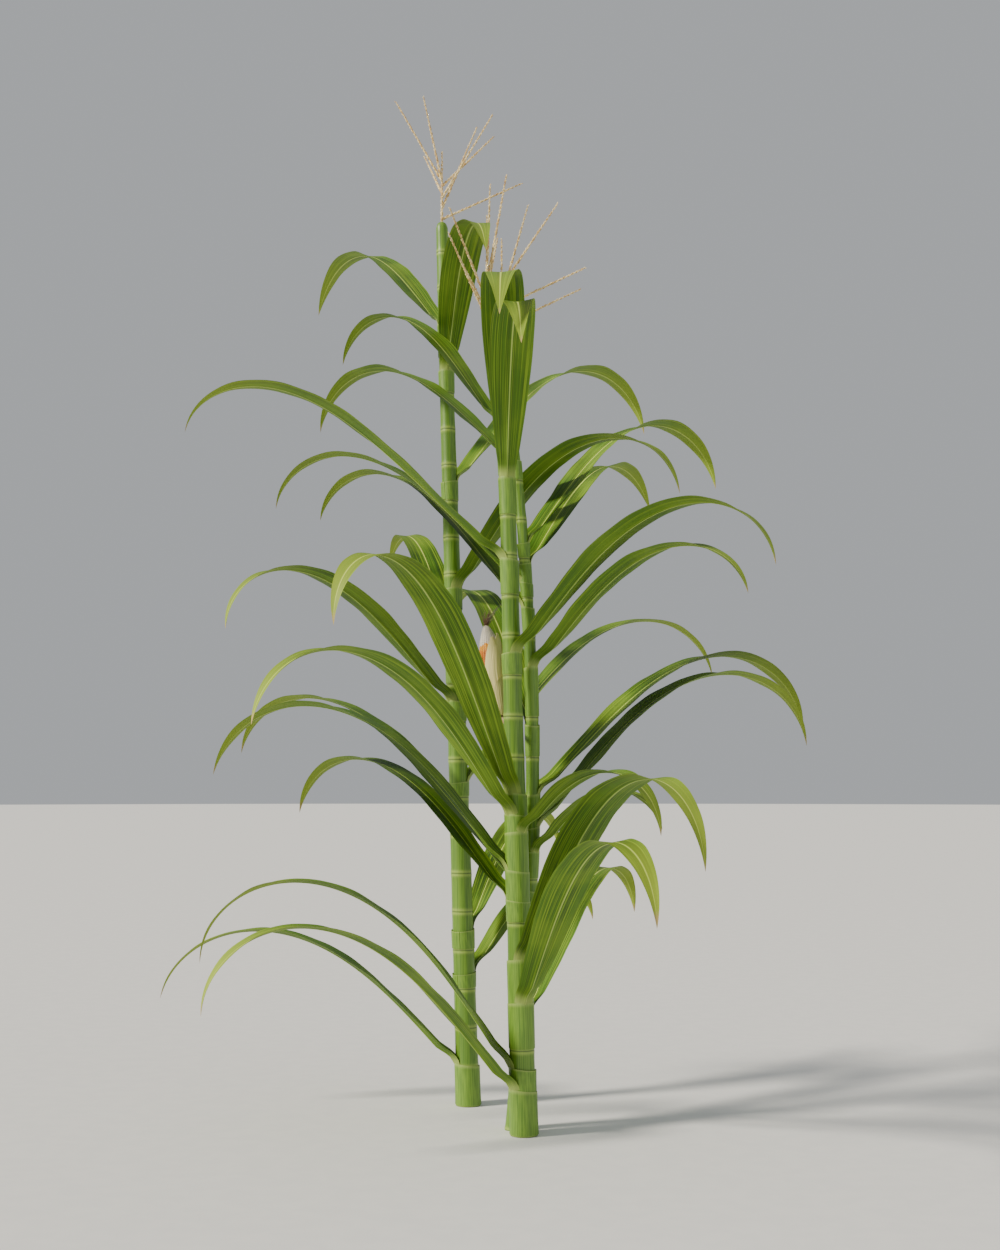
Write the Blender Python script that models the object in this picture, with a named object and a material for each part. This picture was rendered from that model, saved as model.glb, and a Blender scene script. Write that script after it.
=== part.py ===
"""Maize plant: three jointed stems from one root, thirty-six arching leaves, an ear and three tassels.

Metres, +Z up. The origin is the centre of the main stem's flat cut at ground level. +Y points away
from the plant's open front, +X to its right. Every piece is one closed solid in the part's frame.
"""
import math
from collections import namedtuple

import bpy
import bmesh
from mathutils import Vector

# ---- driving dimensions ------------------------------------------------------------------------

FIT_GAP = 0.0004            # clearance left where two solids meet
STEM_SIDES = 16             # facets round a stem
STEM_STEP = 0.16            # spacing of the rings of points up a stem
FOOT_FLARE = 0.06           # extra radius at the ground, as a share of the stem's radius
FLARE_HEIGHT = 0.04         # height over which that flare dies away

LEAF_STATIONS = 15          # cross-sections along a leaf
BLADE_WIDTH = 0.110         # widest part of a full-sized blade
FULL_LENGTH = 1.05          # length of a full-sized blade
BLADE_THICKNESS = 0.0030    # through the midrib
COLLAR_SHARE = 0.30         # width at the stem, as a share of the widest part
WIDEST_AT = 0.42            # where along the blade it is widest
TIP_SHARE = 0.04            # width left at the last section before the point
TAPER_POWER = 2.0           # how late the blade narrows towards its tip
WIDTH_POWER = 0.5           # how a blade's width follows its length
BLADE_THINNING = 0.6        # share of its thickness that the midrib loses towards the tip
GUTTER = 0.13               # height of the margins over the midrib, as a share of the half width

BRANCH_SIDES = 5            # facets round a tassel branch
RACHIS_RADIUS = 0.0045      # foot of a tassel's central axis
BRANCH_RADIUS = 0.0034      # foot of a tassel branch
BRANCH_TIP = 0.0011         # end of a tassel branch

# Colour as linear red, green and blue, then roughness.
STEM_GREEN = (0.21, 0.36, 0.07, 0.45)
LEAF_GREEN = (0.13, 0.27, 0.04, 0.50)
TASSEL_STRAW = (0.62, 0.45, 0.24, 0.70)
KERNEL_ORANGE = (0.75, 0.30, 0.03, 0.35)
HUSK_CREAM = (0.55, 0.50, 0.28, 0.60)

# ---- the stems ---------------------------------------------------------------------------------

# foot: x and y at the ground. top: height of the upper cut. lean: sideways run for each metre of
# height. bow: how far the middle stands out sideways. nod: how the top curves over, starting at
# nod_from. radii: at the ground and at shoulder height; above the shoulder the stem thins to neck.
Stem = namedtuple("Stem", "foot top lean bow nod nod_from base shoulder shoulder_at neck")

STEMS = {
    "main": Stem((0.000, 0.000), 1.95, -0.025, 0.00, -0.20, 1.50, 0.031, 0.018, 1.66, 0.007),
    "side": Stem((-0.023, 0.057), 1.95, -0.015, 0.06, 0.00, 1.95, 0.021, 0.012, 1.60, 0.006),
    "rear": Stem((-0.138, 0.332), 2.34, -0.033, 0.00, 0.00, 2.34, 0.030, 0.0175, 2.15, 0.016),
}


def axis_point(stem, height):
    """Centre of the stem at a height, as a vector."""
    along = height / stem.top
    sideways = stem.lean * height + stem.bow * math.sin(math.pi * min(along, 1.0))
    sideways += stem.nod * max(0.0, height - stem.nod_from) ** 2
    return Vector((stem.foot[0] + sideways, stem.foot[1], height))


def stem_radius(stem, height):
    """Radius of the stem at a height: a long taper, a flared foot and a thinner neck."""
    if height <= stem.shoulder_at:
        share = height / stem.shoulder_at
        radius = stem.base + (stem.shoulder - stem.base) * share
    else:
        share = (height - stem.shoulder_at) / (stem.top - stem.shoulder_at)
        radius = stem.shoulder + (stem.neck - stem.shoulder) * share
    return radius * (1.0 + FOOT_FLARE * math.exp(-height / FLARE_HEIGHT))


# ---- the leaves --------------------------------------------------------------------------------

# height: of the collar on its stem. azimuth: degrees from +X towards +Y. length: along the midrib.
# rise: climb at the collar, in degrees. hang: slope of the tip, in degrees. curl: how late the
# bend comes. split: whether the arch is cut in two solids at its bend.
Leaf = namedtuple("Leaf", "height azimuth length rise hang curl split")

LEAVES = {
    "main": [
        Leaf(0.10, 208, 1.00, 50, -90, 2.8, True),
        Leaf(0.15, 183, 1.02, 57, -90, 2.5, True),
        Leaf(0.30, 290, 0.95, 50, -90, 3.0, True),
        Leaf(0.40, 294, 1.06, 48, -88, 3.0, True),
        Leaf(0.54, 145, 0.87, 48, -82, 2.8, False),
        Leaf(0.61, 162, 1.03, 53, -76, 2.3, True),
        Leaf(0.70, 311, 0.56, 42, -88, 2.0, False),
        Leaf(0.74, 224, 0.96, 50, -82, 2.5, True),
        Leaf(0.79, 242, 1.06, 53, -98, 3.5, True),
        Leaf(1.13, 322, 0.88, 46, -84, 2.6, False),
        Leaf(1.36, 185, 0.97, 44, -82, 4.0, True),
        Leaf(1.56, 272, 0.88, 59, -60, 1.4, False),
        Leaf(1.64, 269, 0.87, 58, -62, 1.4, False),
        Leaf(1.70, 137, 0.78, 52, -80, 3.3, False),
    ],
    "side": [
        Leaf(0.26, 60, 0.81, 48, -88, 3.1, False),
        Leaf(0.56, 154, 1.09, 48, -82, 3.5, True),
        Leaf(0.65, 318, 0.46, 46, -75, 2.2, False),
        Leaf(0.71, 24, 1.03, 49, -85, 2.6, True),
        Leaf(0.79, 29, 1.06, 44, -88, 2.7, True),
        Leaf(0.96, 112, 0.82, 55, -72, 2.9, False),
        Leaf(1.10, 321, 0.74, 45, -78, 2.6, False),
        Leaf(1.25, 147, 0.86, 50, -80, 3.4, False),
        Leaf(1.31, 160, 0.88, 46, -84, 3.3, False),
        Leaf(1.36, 60, 0.88, 44, -55, 2.8, False),
        Leaf(1.41, 42, 0.94, 50, -78, 2.7, True),
        Leaf(1.62, 141, 0.86, 43, -86, 3.1, False),
    ],
    "rear": [
        Leaf(0.10, 185, 0.95, 48, -78, 2.4, True),
        Leaf(0.33, 45, 0.60, 48, -80, 2.4, False),
        Leaf(0.44, 62, 0.70, 50, -75, 2.8, False),
        Leaf(0.82, 27, 1.04, 52, -80, 2.9, True),
        Leaf(1.03, 221, 0.86, 43, -92, 3.0, False),
        Leaf(1.20, 112, 0.70, 52, -60, 3.2, False),
        Leaf(1.33, 320, 0.90, 51, -80, 2.3, False),
        Leaf(1.62, 45, 1.02, 49, -76, 2.8, True),
        Leaf(1.92, 280, 0.77, 53, -62, 1.6, False),
        Leaf(2.05, 122, 0.95, 43, -66, 3.0, True),
    ],
}


def blade_share(along):
    """Width of the blade at a share of its length, as a share of its widest part."""
    if along <= WIDEST_AT:
        swell = math.sin(0.5 * math.pi * along / WIDEST_AT)
        return COLLAR_SHARE + (1.0 - COLLAR_SHARE) * swell
    run = (along - WIDEST_AT) / (1.0 - WIDEST_AT)
    return 1.0 - (1.0 - TIP_SHARE) * run ** TAPER_POWER


def blade_slope(leaf, along):
    """Slope of the midrib in radians: it climbs at first, then bends over ever faster."""
    return math.radians(leaf.rise - (leaf.rise - leaf.hang) * along ** leaf.curl)


def midrib_points(stem, leaf, stations):
    """Points along the midrib from the stem's surface to the tip, evenly spaced, with slopes."""
    outward = heading(leaf.azimuth)
    reach = stem_radius(stem, leaf.height) + FIT_GAP + BLADE_THICKNESS
    point = axis_point(stem, leaf.height) + outward * reach
    step = leaf.length / (stations - 1)
    points = [(point.copy(), blade_slope(leaf, 0.0))]
    for index in range(1, stations):
        slope = blade_slope(leaf, (index - 0.5) / (stations - 1))
        point = point + step * (outward * math.cos(slope) + UPRIGHT * math.sin(slope))
        points.append((point.copy(), blade_slope(leaf, index / (stations - 1))))
    return points


def blade_section(leaf, point, slope, along):
    """Four corners of the blade's cross-section: margin, top of midrib, margin, under the midrib."""
    outward = heading(leaf.azimuth)
    across = outward.cross(UPRIGHT)
    upward = UPRIGHT * math.cos(slope) - outward * math.sin(slope)
    half = 0.5 * BLADE_WIDTH * (leaf.length / FULL_LENGTH) ** WIDTH_POWER * blade_share(along)
    lift = upward * (half * GUTTER)
    thick = upward * (0.5 * BLADE_THICKNESS * (1.0 - BLADE_THINNING * along))
    return [point - across * half + lift, point + thick, point + across * half + lift, point - thick]


# ---- the tassels -------------------------------------------------------------------------------

# length: of the central axis above the stem. Each branch: how far up that axis it starts, azimuth
# and lean from upright in degrees, and length.
Branch = namedtuple("Branch", "start azimuth lean length")
Tassel = namedtuple("Tassel", "length branches")

TASSELS = {
    "main": Tassel(0.28, [
        Branch(0.015, 232, 40, 0.23), Branch(0.035, 250, 68, 0.20), Branch(0.060, 240, 44, 0.25),
        Branch(0.085, 75, 30, 0.20), Branch(0.105, 15, 10, 0.29), Branch(0.120, 285, 8, 0.23),
    ]),
    "side": Tassel(0.24, [
        Branch(0.015, 10, 62, 0.23), Branch(0.030, 95, 60, 0.20), Branch(0.065, 345, 69, 0.23),
        Branch(0.090, 340, 17, 0.24), Branch(0.120, 20, 33, 0.28),
    ]),
    "rear": Tassel(0.20, [
        Branch(0.010, 0, 65, 0.24), Branch(0.040, 15, 22, 0.26), Branch(0.070, 345, 33, 0.26),
        Branch(0.084, 108, 46, 0.26), Branch(0.104, 35, 43, 0.25), Branch(0.115, 200, 13, 0.24),
        Branch(0.118, 170, 29, 0.27),
    ]),
}

# ---- the ear -----------------------------------------------------------------------------------

SHANK_HEIGHT = 0.955                         # where the ear's short stalk leaves the main stem
SHANK_RADIUS = 0.0065
EAR_FOOT = Vector((-0.052, 0.052, 0.985))    # bottom of the ear, beside the main stem
EAR_TIP = Vector((-0.092, 0.072, 1.210))     # tip of the cob
EAR_FULLEST = 0.52                           # where along the ear it is thickest
EAR_FOOT_SHARE = 0.42                        # thickness of its foot, as a share of the thickest
EAR_TIP_POWER = 0.6                          # how bluntly it closes towards its tip
EAR_FACING = 150                             # azimuth that the open side of the husk faces
COB_RADIUS = 0.0310                          # thickest part of the cob
COB_END = 0.97                               # where its last section is, short of the tip
COB_SIDES = 14
EAR_SECTIONS = 9
HUSK_RADIUS = 0.0360                         # outside of the open husk
HUSK_WALL = 0.0030                           # its least thickness
HUSK_SLACK = 1.03                            # its inside, as a multiple of the cob's thickness
HUSK_HEIGHT = 0.76                           # height of the husk, as a share of the ear
HUSK_OPENING = 130                           # degrees left open round the cob
HUSK_FACETS = 12

# ---- mesh helpers ------------------------------------------------------------------------------

UPRIGHT = Vector((0, 0, 1))
SIDEWAYS = Vector((1, 0, 0))


def finish_solid(name, mesh_data, material):
    """Turn a bmesh into a named, smooth shaded object whose faces point outwards."""
    bmesh.ops.recalc_face_normals(mesh_data, faces=mesh_data.faces)
    mesh = bpy.data.meshes.new(name)
    mesh_data.to_mesh(mesh)
    mesh_data.free()
    mesh.materials.append(material)
    mesh.shade_smooth()
    solid = bpy.data.objects.new(name, mesh)
    bpy.context.scene.collection.objects.link(solid)
    return solid


def loft(mesh_data, sections):
    """Skin a list of closed sections, each with the same number of corners, and cap both ends."""
    rings = [[mesh_data.verts.new(corner) for corner in section] for section in sections]
    for lower, upper in zip(rings, rings[1:]):
        count = len(lower)
        for index in range(count):
            following = (index + 1) % count
            mesh_data.faces.new((lower[index], lower[following], upper[following], upper[index]))
    mesh_data.faces.new(list(reversed(rings[0])))
    mesh_data.faces.new(rings[-1])


def ring(centre, direction, towards, radius, sides):
    """Corners of a regular polygon square to a direction, the first of them on a chosen side."""
    direction = direction.normalized()
    first = (towards - direction * towards.dot(direction)).normalized()
    second = direction.cross(first)
    turns = [2.0 * math.pi * index / sides for index in range(sides)]
    return [centre + radius * (first * math.cos(turn) + second * math.sin(turn)) for turn in turns]


def heading(azimuth, lean=90):
    """Direction at an azimuth from +X and a lean from upright, both in degrees."""
    turn, tilt = math.radians(azimuth), math.radians(lean)
    return Vector((math.sin(tilt) * math.cos(turn), math.sin(tilt) * math.sin(turn), math.cos(tilt)))


def paint(name, finish):
    """A plain material for one kind of piece, from its colour and roughness."""
    material = bpy.data.materials.new(name)
    material.use_nodes = True
    shader = material.node_tree.nodes["Principled BSDF"]
    shader.inputs["Base Color"].default_value = (*finish[:3], 1.0)
    shader.inputs["Roughness"].default_value = finish[3]
    shader.inputs["Metallic"].default_value = 0.0
    return material


# ---- the pieces --------------------------------------------------------------------------------


def make_stem(name, stem):
    """One tapering stem from its flat cut at the ground to its upper cut, on level rings."""
    count = math.ceil(stem.top / STEM_STEP)
    sections = []
    for index in range(count + 1):
        height = stem.top * index / count
        sections.append(ring(axis_point(stem, height), UPRIGHT, SIDEWAYS, stem_radius(stem, height),
                             STEM_SIDES))
    mesh_data = bmesh.new()
    loft(mesh_data, sections)
    return finish_solid(name + "_stem", mesh_data, paint(name + "_stem_green", STEM_GREEN))


def make_leaf(name, stem, leaf):
    """One blade, in one solid or cut in two at its bend."""
    points = midrib_points(stem, leaf, LEAF_STATIONS)
    last = len(points) - 1
    sections = [blade_section(leaf, point, slope, index / last)
                for index, (point, slope) in enumerate(points)]
    pieces = [(name, 0, last)]
    if leaf.split:
        crest = max(range(len(points)), key=lambda index: points[index][0].z)
        pieces = [(name, 0, crest), (name + "_tip", crest, last)]
    for piece_name, start, end in pieces:
        chosen = [list(section) for section in sections[start:end + 1]]
        if start > 0:
            onward = (points[start + 1][0] - points[start][0]).normalized() * FIT_GAP
            chosen[0] = [corner + onward for corner in chosen[0]]
        mesh_data = bmesh.new()
        loft(mesh_data, chosen)
        finish_solid(piece_name, mesh_data, paint(piece_name + "_green", LEAF_GREEN))


def cone_between(name, start, end, radii, sides):
    """A tapered round solid from one point to another."""
    mesh_data = bmesh.new()
    direction = end - start
    towards = direction.orthogonal()
    loft(mesh_data, [ring(start, direction, towards, radii[0], sides),
                     ring(end, direction, towards, radii[1], sides)])
    return finish_solid(name, mesh_data, paint(name + "_straw", TASSEL_STRAW))


def make_tassel(name, stem, tassel):
    """A straight axis with stiff side branches, made one solid by uniting them."""
    foot = axis_point(stem, stem.top) + UPRIGHT * FIT_GAP
    head = foot + UPRIGHT * tassel.length
    axis = cone_between(name + "_tassel", foot, head, (RACHIS_RADIUS, BRANCH_TIP), BRANCH_SIDES + 1)
    for number, branch in enumerate(tassel.branches, start=1):
        root = foot + UPRIGHT * branch.start
        end = root + heading(branch.azimuth, branch.lean) * branch.length
        piece = cone_between(f"{name}_tassel_branch_{number}", root, end,
                             (BRANCH_RADIUS, BRANCH_TIP), BRANCH_SIDES)
        piece.hide_render = True
        piece.display_type = "WIRE"
        union = axis.modifiers.new(piece.name, "BOOLEAN")
        union.operation = "UNION"
        union.solver = "EXACT"
        union.object = piece


def ear_swell(along):
    """Thickness of the ear at a share of its length, as a share of its thickest part."""
    if along < EAR_FULLEST:
        swell = math.sin(0.5 * math.pi * along / EAR_FULLEST)
        return EAR_FOOT_SHARE + (1.0 - EAR_FOOT_SHARE) * swell
    closing = math.cos(0.5 * math.pi * (along - EAR_FULLEST) / (1.0 - EAR_FULLEST))
    return closing ** EAR_TIP_POWER


def shank_sections(along, facing):
    """The ear's stalk: it leaves the main stem square to its surface, then turns up into the ear."""
    stem = STEMS["main"]
    centre = axis_point(stem, SHANK_HEIGHT)
    outward = EAR_FOOT - centre
    outward.z = 0.0
    outward.normalize()
    start = centre + outward * (stem_radius(stem, SHANK_HEIGHT) + FIT_GAP)
    bend = start.lerp(EAR_FOOT, 0.5) - UPRIGHT * SHANK_RADIUS
    return [ring(start, outward, facing, SHANK_RADIUS, COB_SIDES),
            ring(bend, outward + along, facing, SHANK_RADIUS, COB_SIDES)]


def make_cob():
    """The cob with its kernels, as one round spindle on its stalk."""
    span = EAR_TIP - EAR_FOOT
    facing = heading(EAR_FACING)
    sections = shank_sections(span.normalized(), facing)
    for index in range(EAR_SECTIONS):
        share = COB_END * index / (EAR_SECTIONS - 1)
        radius = COB_RADIUS * ear_swell(share)
        sections.append(ring(EAR_FOOT + span * share, span, facing, radius, COB_SIDES))
    mesh_data = bmesh.new()
    loft(mesh_data, sections)
    finish_solid("ear_cob", mesh_data, paint("kernel_orange", KERNEL_ORANGE))


def make_husk():
    """The dry husk that wraps the cob's far side, open towards its facing, as one curved wall."""
    span = EAR_TIP - EAR_FOOT
    along = span.normalized()
    facing = heading(EAR_FACING)
    outward = (facing - along * facing.dot(along)).normalized()
    across = along.cross(outward)
    half_open = math.radians(HUSK_OPENING) / 2.0
    wrap = 2.0 * math.pi - 2.0 * half_open
    turns = [half_open + wrap * facet / HUSK_FACETS for facet in range(HUSK_FACETS + 1)]
    spokes = [outward * math.cos(turn) + across * math.sin(turn) for turn in turns]
    sections = []
    for index in range(EAR_SECTIONS):
        share = HUSK_HEIGHT * index / (EAR_SECTIONS - 1)
        inner = COB_RADIUS * ear_swell(share) * HUSK_SLACK + FIT_GAP
        outer = max(inner + HUSK_WALL, HUSK_RADIUS * ear_swell(share))
        centre = EAR_FOOT + span * share
        sections.append([centre + spoke * outer for spoke in spokes]
                        + [centre + spoke * inner for spoke in reversed(spokes)])
    mesh_data = bmesh.new()
    loft(mesh_data, sections)
    finish_solid("ear_husk", mesh_data, paint("husk_cream", HUSK_CREAM))


def clear_scene():
    """Remove whatever objects the scene starts with."""
    for item in list(bpy.data.objects):
        bpy.data.objects.remove(item, do_unlink=True)


clear_scene()
make_cob()
make_husk()
for stem_name, stem in STEMS.items():
    make_stem(stem_name, stem)
    make_tassel(stem_name, stem, TASSELS[stem_name])
    for number, leaf in enumerate(LEAVES[stem_name], start=1):
        make_leaf(f"{stem_name}_leaf_{number:02d}", stem, leaf)
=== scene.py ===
# %% [markdown]
# # A maize plant, grown leaf by leaf
# Maize is a giant grass. Three jointed canes stand on one root here, thirty-six strap leaves arch away
# from them, one ear sits half out of its husk, and a straw-dry tassel crowns each cane. The packed model
# is loaded first and stays fixed: it says how large the plant is and where each part of it lies. Every
# piece below is a finer skin grown along the same lines as the packed solid that it stands for.

# %% Load the packed model
import math
import random
from collections import namedtuple

import bmesh
import bpy
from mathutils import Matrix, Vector


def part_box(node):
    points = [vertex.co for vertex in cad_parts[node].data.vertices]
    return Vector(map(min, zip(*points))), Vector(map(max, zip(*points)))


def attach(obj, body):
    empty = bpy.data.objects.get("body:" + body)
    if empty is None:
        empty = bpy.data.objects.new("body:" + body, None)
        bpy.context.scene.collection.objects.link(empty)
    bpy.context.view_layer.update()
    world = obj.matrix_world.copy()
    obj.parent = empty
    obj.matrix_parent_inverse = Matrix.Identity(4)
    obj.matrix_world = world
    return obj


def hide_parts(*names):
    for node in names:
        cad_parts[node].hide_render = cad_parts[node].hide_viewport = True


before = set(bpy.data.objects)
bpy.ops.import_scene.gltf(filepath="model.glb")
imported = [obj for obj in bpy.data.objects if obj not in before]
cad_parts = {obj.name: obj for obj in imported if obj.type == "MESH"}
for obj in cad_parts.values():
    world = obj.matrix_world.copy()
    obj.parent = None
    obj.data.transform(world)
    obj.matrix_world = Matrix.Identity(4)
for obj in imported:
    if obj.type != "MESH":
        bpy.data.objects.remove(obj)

UP = Vector((0, 0, 1))
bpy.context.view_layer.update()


# %% [markdown]
# ## Camera, floor and light
# The camera stands a little under four metres away at chest height and looks slightly up, so the tassels
# rise over the horizon. A long lens would flatten the plant and a short one would stretch its foot: this
# one is close to the lens of a phone held upright. The floor is one wide pale disc. The strongest light is
# a wide, warm, low sun on the left, because raking light is what shows the midribs and the rings of a
# cane. Its shadows are soft, and pale air and one large lamp on the right fill them.

# %% Set up the studio
EYE = Vector((-0.0565, -3.645, 0.8185))
LOOK_UP = 6.015              # degrees above the level
LENS = 43.456                # millimetres, on the sensor below
SENSOR = 36.0                # millimetres
SUN_HEIGHT = 33              # degrees above the level
SUN_SIDE = 202               # azimuth it shines from
SUN_SPREAD = 9               # degrees of sky it fills, which softens its shadows
SUN_STRENGTH = 5.6
SUN_COLOUR = (1.0, 0.93, 0.80)
FILL_PLACE = Vector((4.2, -4.0, 2.4))
FILL_TARGET = Vector((0, 0.1, 1.2))
FILL_SIZE = 3.5
FILL_WATTS = 40
FILL_COLOUR = (0.93, 0.96, 1.0)
AIR_COLOUR = (0.80, 0.83, 0.86, 1)
AIR_STRENGTH = 0.52


def stand(name, fitting, place, turn):
    """Stand a camera or a light in the studio, at a place and turned by three angles."""
    holder = bpy.data.objects.new(name, fitting)
    holder.location = place
    holder.rotation_euler = turn
    bpy.context.scene.collection.objects.link(holder)
    return holder


lens = bpy.data.cameras.new("camera")
lens.lens = LENS
lens.sensor_width = SENSOR
bpy.context.scene.camera = stand("camera", lens, EYE, (math.radians(90 + LOOK_UP), 0, 0))

fill = bpy.data.lights.new("fill", "AREA")
fill.shape = "SQUARE"
fill.size = FILL_SIZE
fill.energy = FILL_WATTS
fill.color = FILL_COLOUR
stand("fill", fill, FILL_PLACE, (FILL_TARGET - FILL_PLACE).to_track_quat("-Z", "Y").to_euler())

sun = bpy.data.lights.new("sun", "SUN")
sun.energy = SUN_STRENGTH
sun.color = SUN_COLOUR
sun.angle = math.radians(SUN_SPREAD)
stand("sun", sun, (0, 0, 0), (math.radians(90 - SUN_HEIGHT), 0, math.radians(SUN_SIDE + 90)))

world = bpy.data.worlds.new("studio_air")
world.use_nodes = True
air = world.node_tree.nodes["Background"].inputs
air["Color"].default_value = AIR_COLOUR
air["Strength"].default_value = AIR_STRENGTH
bpy.context.scene.world = world
print("camera", round(-EYE.y, 2), "m away and", round(EYE.z, 2), "m up, looking up", LOOK_UP, "degrees")

# %% [markdown]
# ## A bench for node trees
# Both the shapes and the finishes below are worked out by node trees. Built by hand in Python they turn
# into pages of links, so a small class wraps a socket and lets it stand in an ordinary expression:
# `rise - drop * along ** curl` adds its own Math nodes. Vectors go through Vector Math, and every other
# node comes from one method that takes its type, its settings and what feeds it.

# %% Sockets that can be added, multiplied and mixed


def find(sockets, wanted):
    """The socket in use with this name, or at this place among those in use."""
    used = [socket for socket in sockets if socket.enabled]
    return used[wanted] if isinstance(wanted, int) else next(s for s in used if s.name == wanted)


def is_arrow(item):
    """Whether an operand is a vector."""
    return isinstance(item, (tuple, Vector)) or isinstance(item, Wire) and item.socket.type == "VECTOR"


class Wire:
    """A node's output that can stand in a Python expression."""

    def __init__(self, bench, socket):
        self.bench = bench
        self.socket = socket

    def also(self, output):
        """Another output of the same node."""
        return Wire(self.bench, find(self.socket.node.outputs, output))

    def math(self, operation, *others):
        inputs = dict(enumerate((self, *others)))
        return self.bench.node("ShaderNodeMath", {"operation": operation}, inputs)

    def arrow(self, operation, *others):
        inputs = dict(enumerate((self, *others)))
        return self.bench.node("ShaderNodeVectorMath", {"operation": operation}, inputs)

    def __add__(self, other):
        return self.bench.combine("ADD", self, other)

    def __radd__(self, other):
        return self.bench.combine("ADD", other, self)

    def __sub__(self, other):
        return self.bench.combine("SUBTRACT", self, other)

    def __rsub__(self, other):
        return self.bench.combine("SUBTRACT", other, self)

    def __mul__(self, other):
        return self.bench.combine("MULTIPLY", self, other)

    def __rmul__(self, other):
        return self.bench.combine("MULTIPLY", other, self)

    def __truediv__(self, other):
        return self.bench.combine("DIVIDE", self, other)

    def __pow__(self, other):
        return self.bench.combine("POWER", self, other)


print("a wire knows", len([name for name in vars(Wire) if name[0] == "_"]), "special names")

# %% [markdown]
# The bench itself makes the nodes. Beside the general method it has one for each thing that comes back
# often: a smooth step, a bell, one tone laid over another, noise drawn out along a leaf, a value noted on
# a shape's points. Each says in its name what it does to the plant, not which nodes it takes.

# %% The bench


class Bench:
    """A node tree that is being built."""

    def __init__(self, tree):
        self.tree = tree

    def feed(self, socket, value):
        """Link a socket to a wire, or set its own value."""
        if isinstance(value, Wire):
            self.tree.links.new(value.socket, socket)
        else:
            socket.default_value = value

    def node(self, kind, settings=None, inputs=None, output=0):
        """Any node: its type, its settings, what feeds each input, and the output that is wanted."""
        made = self.tree.nodes.new(kind)
        for name, value in (settings or {}).items():
            if name == "stops":
                self.set_stops(made.color_ramp, value)
            else:
                setattr(made, name, value)
        for name, value in (inputs or {}).items():
            for item in value if isinstance(value, list) else [value]:
                self.feed(find(made.inputs, name), item)
        return Wire(self, find(made.outputs, output)) if len(made.outputs) else made

    def set_stops(self, ramp, stops):
        """Give a colour ramp its stops, as places and colours."""
        while len(ramp.elements) < len(stops):
            ramp.elements.new(1.0)
        for element, (place, colour) in zip(ramp.elements, stops):
            element.position = place
            element.color = (*colour, 1.0)

    def combine(self, operation, first, second):
        """First and second through a Math node, or through Vector Math if either is a vector."""
        arrows = is_arrow(first), is_arrow(second)
        if operation == "MULTIPLY" and arrows == (True, False):
            return self.node("ShaderNodeVectorMath", {"operation": "SCALE"}, {
                "Vector": first, "Scale": second})
        if operation == "MULTIPLY" and arrows == (False, True):
            return self.combine(operation, second, first)
        kind = "ShaderNodeVectorMath" if any(arrows) else "ShaderNodeMath"
        return self.node(kind, {"operation": operation}, {0: first, 1: second})

    def xyz(self, x, y, z):
        return self.node("ShaderNodeCombineXYZ", None, {"X": x, "Y": y, "Z": z})

    def part(self, vector, axis):
        return self.node("ShaderNodeSeparateXYZ", None, {"Vector": vector}, axis)

    def ease(self, value, low, high):
        """0 below low, 1 above high and smooth between them."""
        return self.node("ShaderNodeMapRange", {"interpolation_type": "SMOOTHSTEP"},
                         {"Value": value, "From Min": low, "From Max": high})

    def bell(self, distance, width):
        """1 where the distance is none, dying away over the width."""
        return ((distance / width) ** 2 * -1.0).math("EXPONENT")

    def blend(self, factor, first, second):
        """A colour between two colours."""
        return self.node("ShaderNodeMix", {"data_type": "RGBA"}, {
            "Factor": factor, "A": first, "B": second})

    def layer(self, below, tone, mask, low=None, high=None, strength=1.0):
        """A tone laid over the colour below it, where a mask passes from low to high."""
        if low is not None:
            mask = self.ease(mask, low, high)
        return self.blend(mask if strength == 1.0 else mask * strength, below, tone)

    def meet(self, factor, first, second):
        """A vector between two vectors."""
        return self.node("ShaderNodeMix", {"data_type": "VECTOR"}, {
            "Factor": factor, "A": first, "B": second})

    def noise(self, vector, scale=1.0, detail=2.0):
        """Smooth noise from 0 to 1."""
        return self.node("ShaderNodeTexNoise", None, {
            "Vector": vector, "Scale": scale, "Detail": detail})

    def grain(self, across, along, drift, pace, detail):
        """Noise drawn out along a leaf. The pace is how quickly it changes in each direction."""
        place = self.xyz(across * pace[0], along * pace[1], drift * pace[2])
        return self.noise(place, detail=detail)

    def ripples(self, value, pace):
        """Even ripples from 0 to 1, at this many radians for each whole of the value."""
        return (value * pace).math("SINE") * 0.5 + 0.5

    def moved(self, shape, spots):
        """A shape whose points are put at these spots."""
        return self.node("GeometryNodeSetPosition", None, {"Geometry": shape, "Position": spots})

    def noted(self, shape, name, value, kind="FLOAT", domain="POINT"):
        """A shape that carries this value under this name."""
        return self.node("GeometryNodeStoreNamedAttribute", {"data_type": kind, "domain": domain}, {
            "Geometry": shape, "Name": name, "Value": value})

    def read(self, name):
        """The number that a shape carries under this name."""
        return self.node("GeometryNodeInputNamedAttribute", {"data_type": "FLOAT"}, {"Name": name})

    def draw(self, low, high, seed):
        """A random number for each point, the same in each run."""
        return self.node("FunctionNodeRandomValue", {"data_type": "FLOAT"}, {
            "Min": low, "Max": high, "Seed": seed})


print("the bench has", len([name for name in vars(Bench) if name[0] != "_"]), "tools")

# %% [markdown]
# ## Finishes
# Each finish is a short recipe that says what feeds the shader's sockets. Its tones are laid over each
# other, each through a mask. Leaf and cane patterns follow the part that they are on: a blade carries its
# own map, which says how far across and how far along each point lies, so the veins narrow with the blade
# as real ones do.

# %% A finish from a recipe


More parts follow.
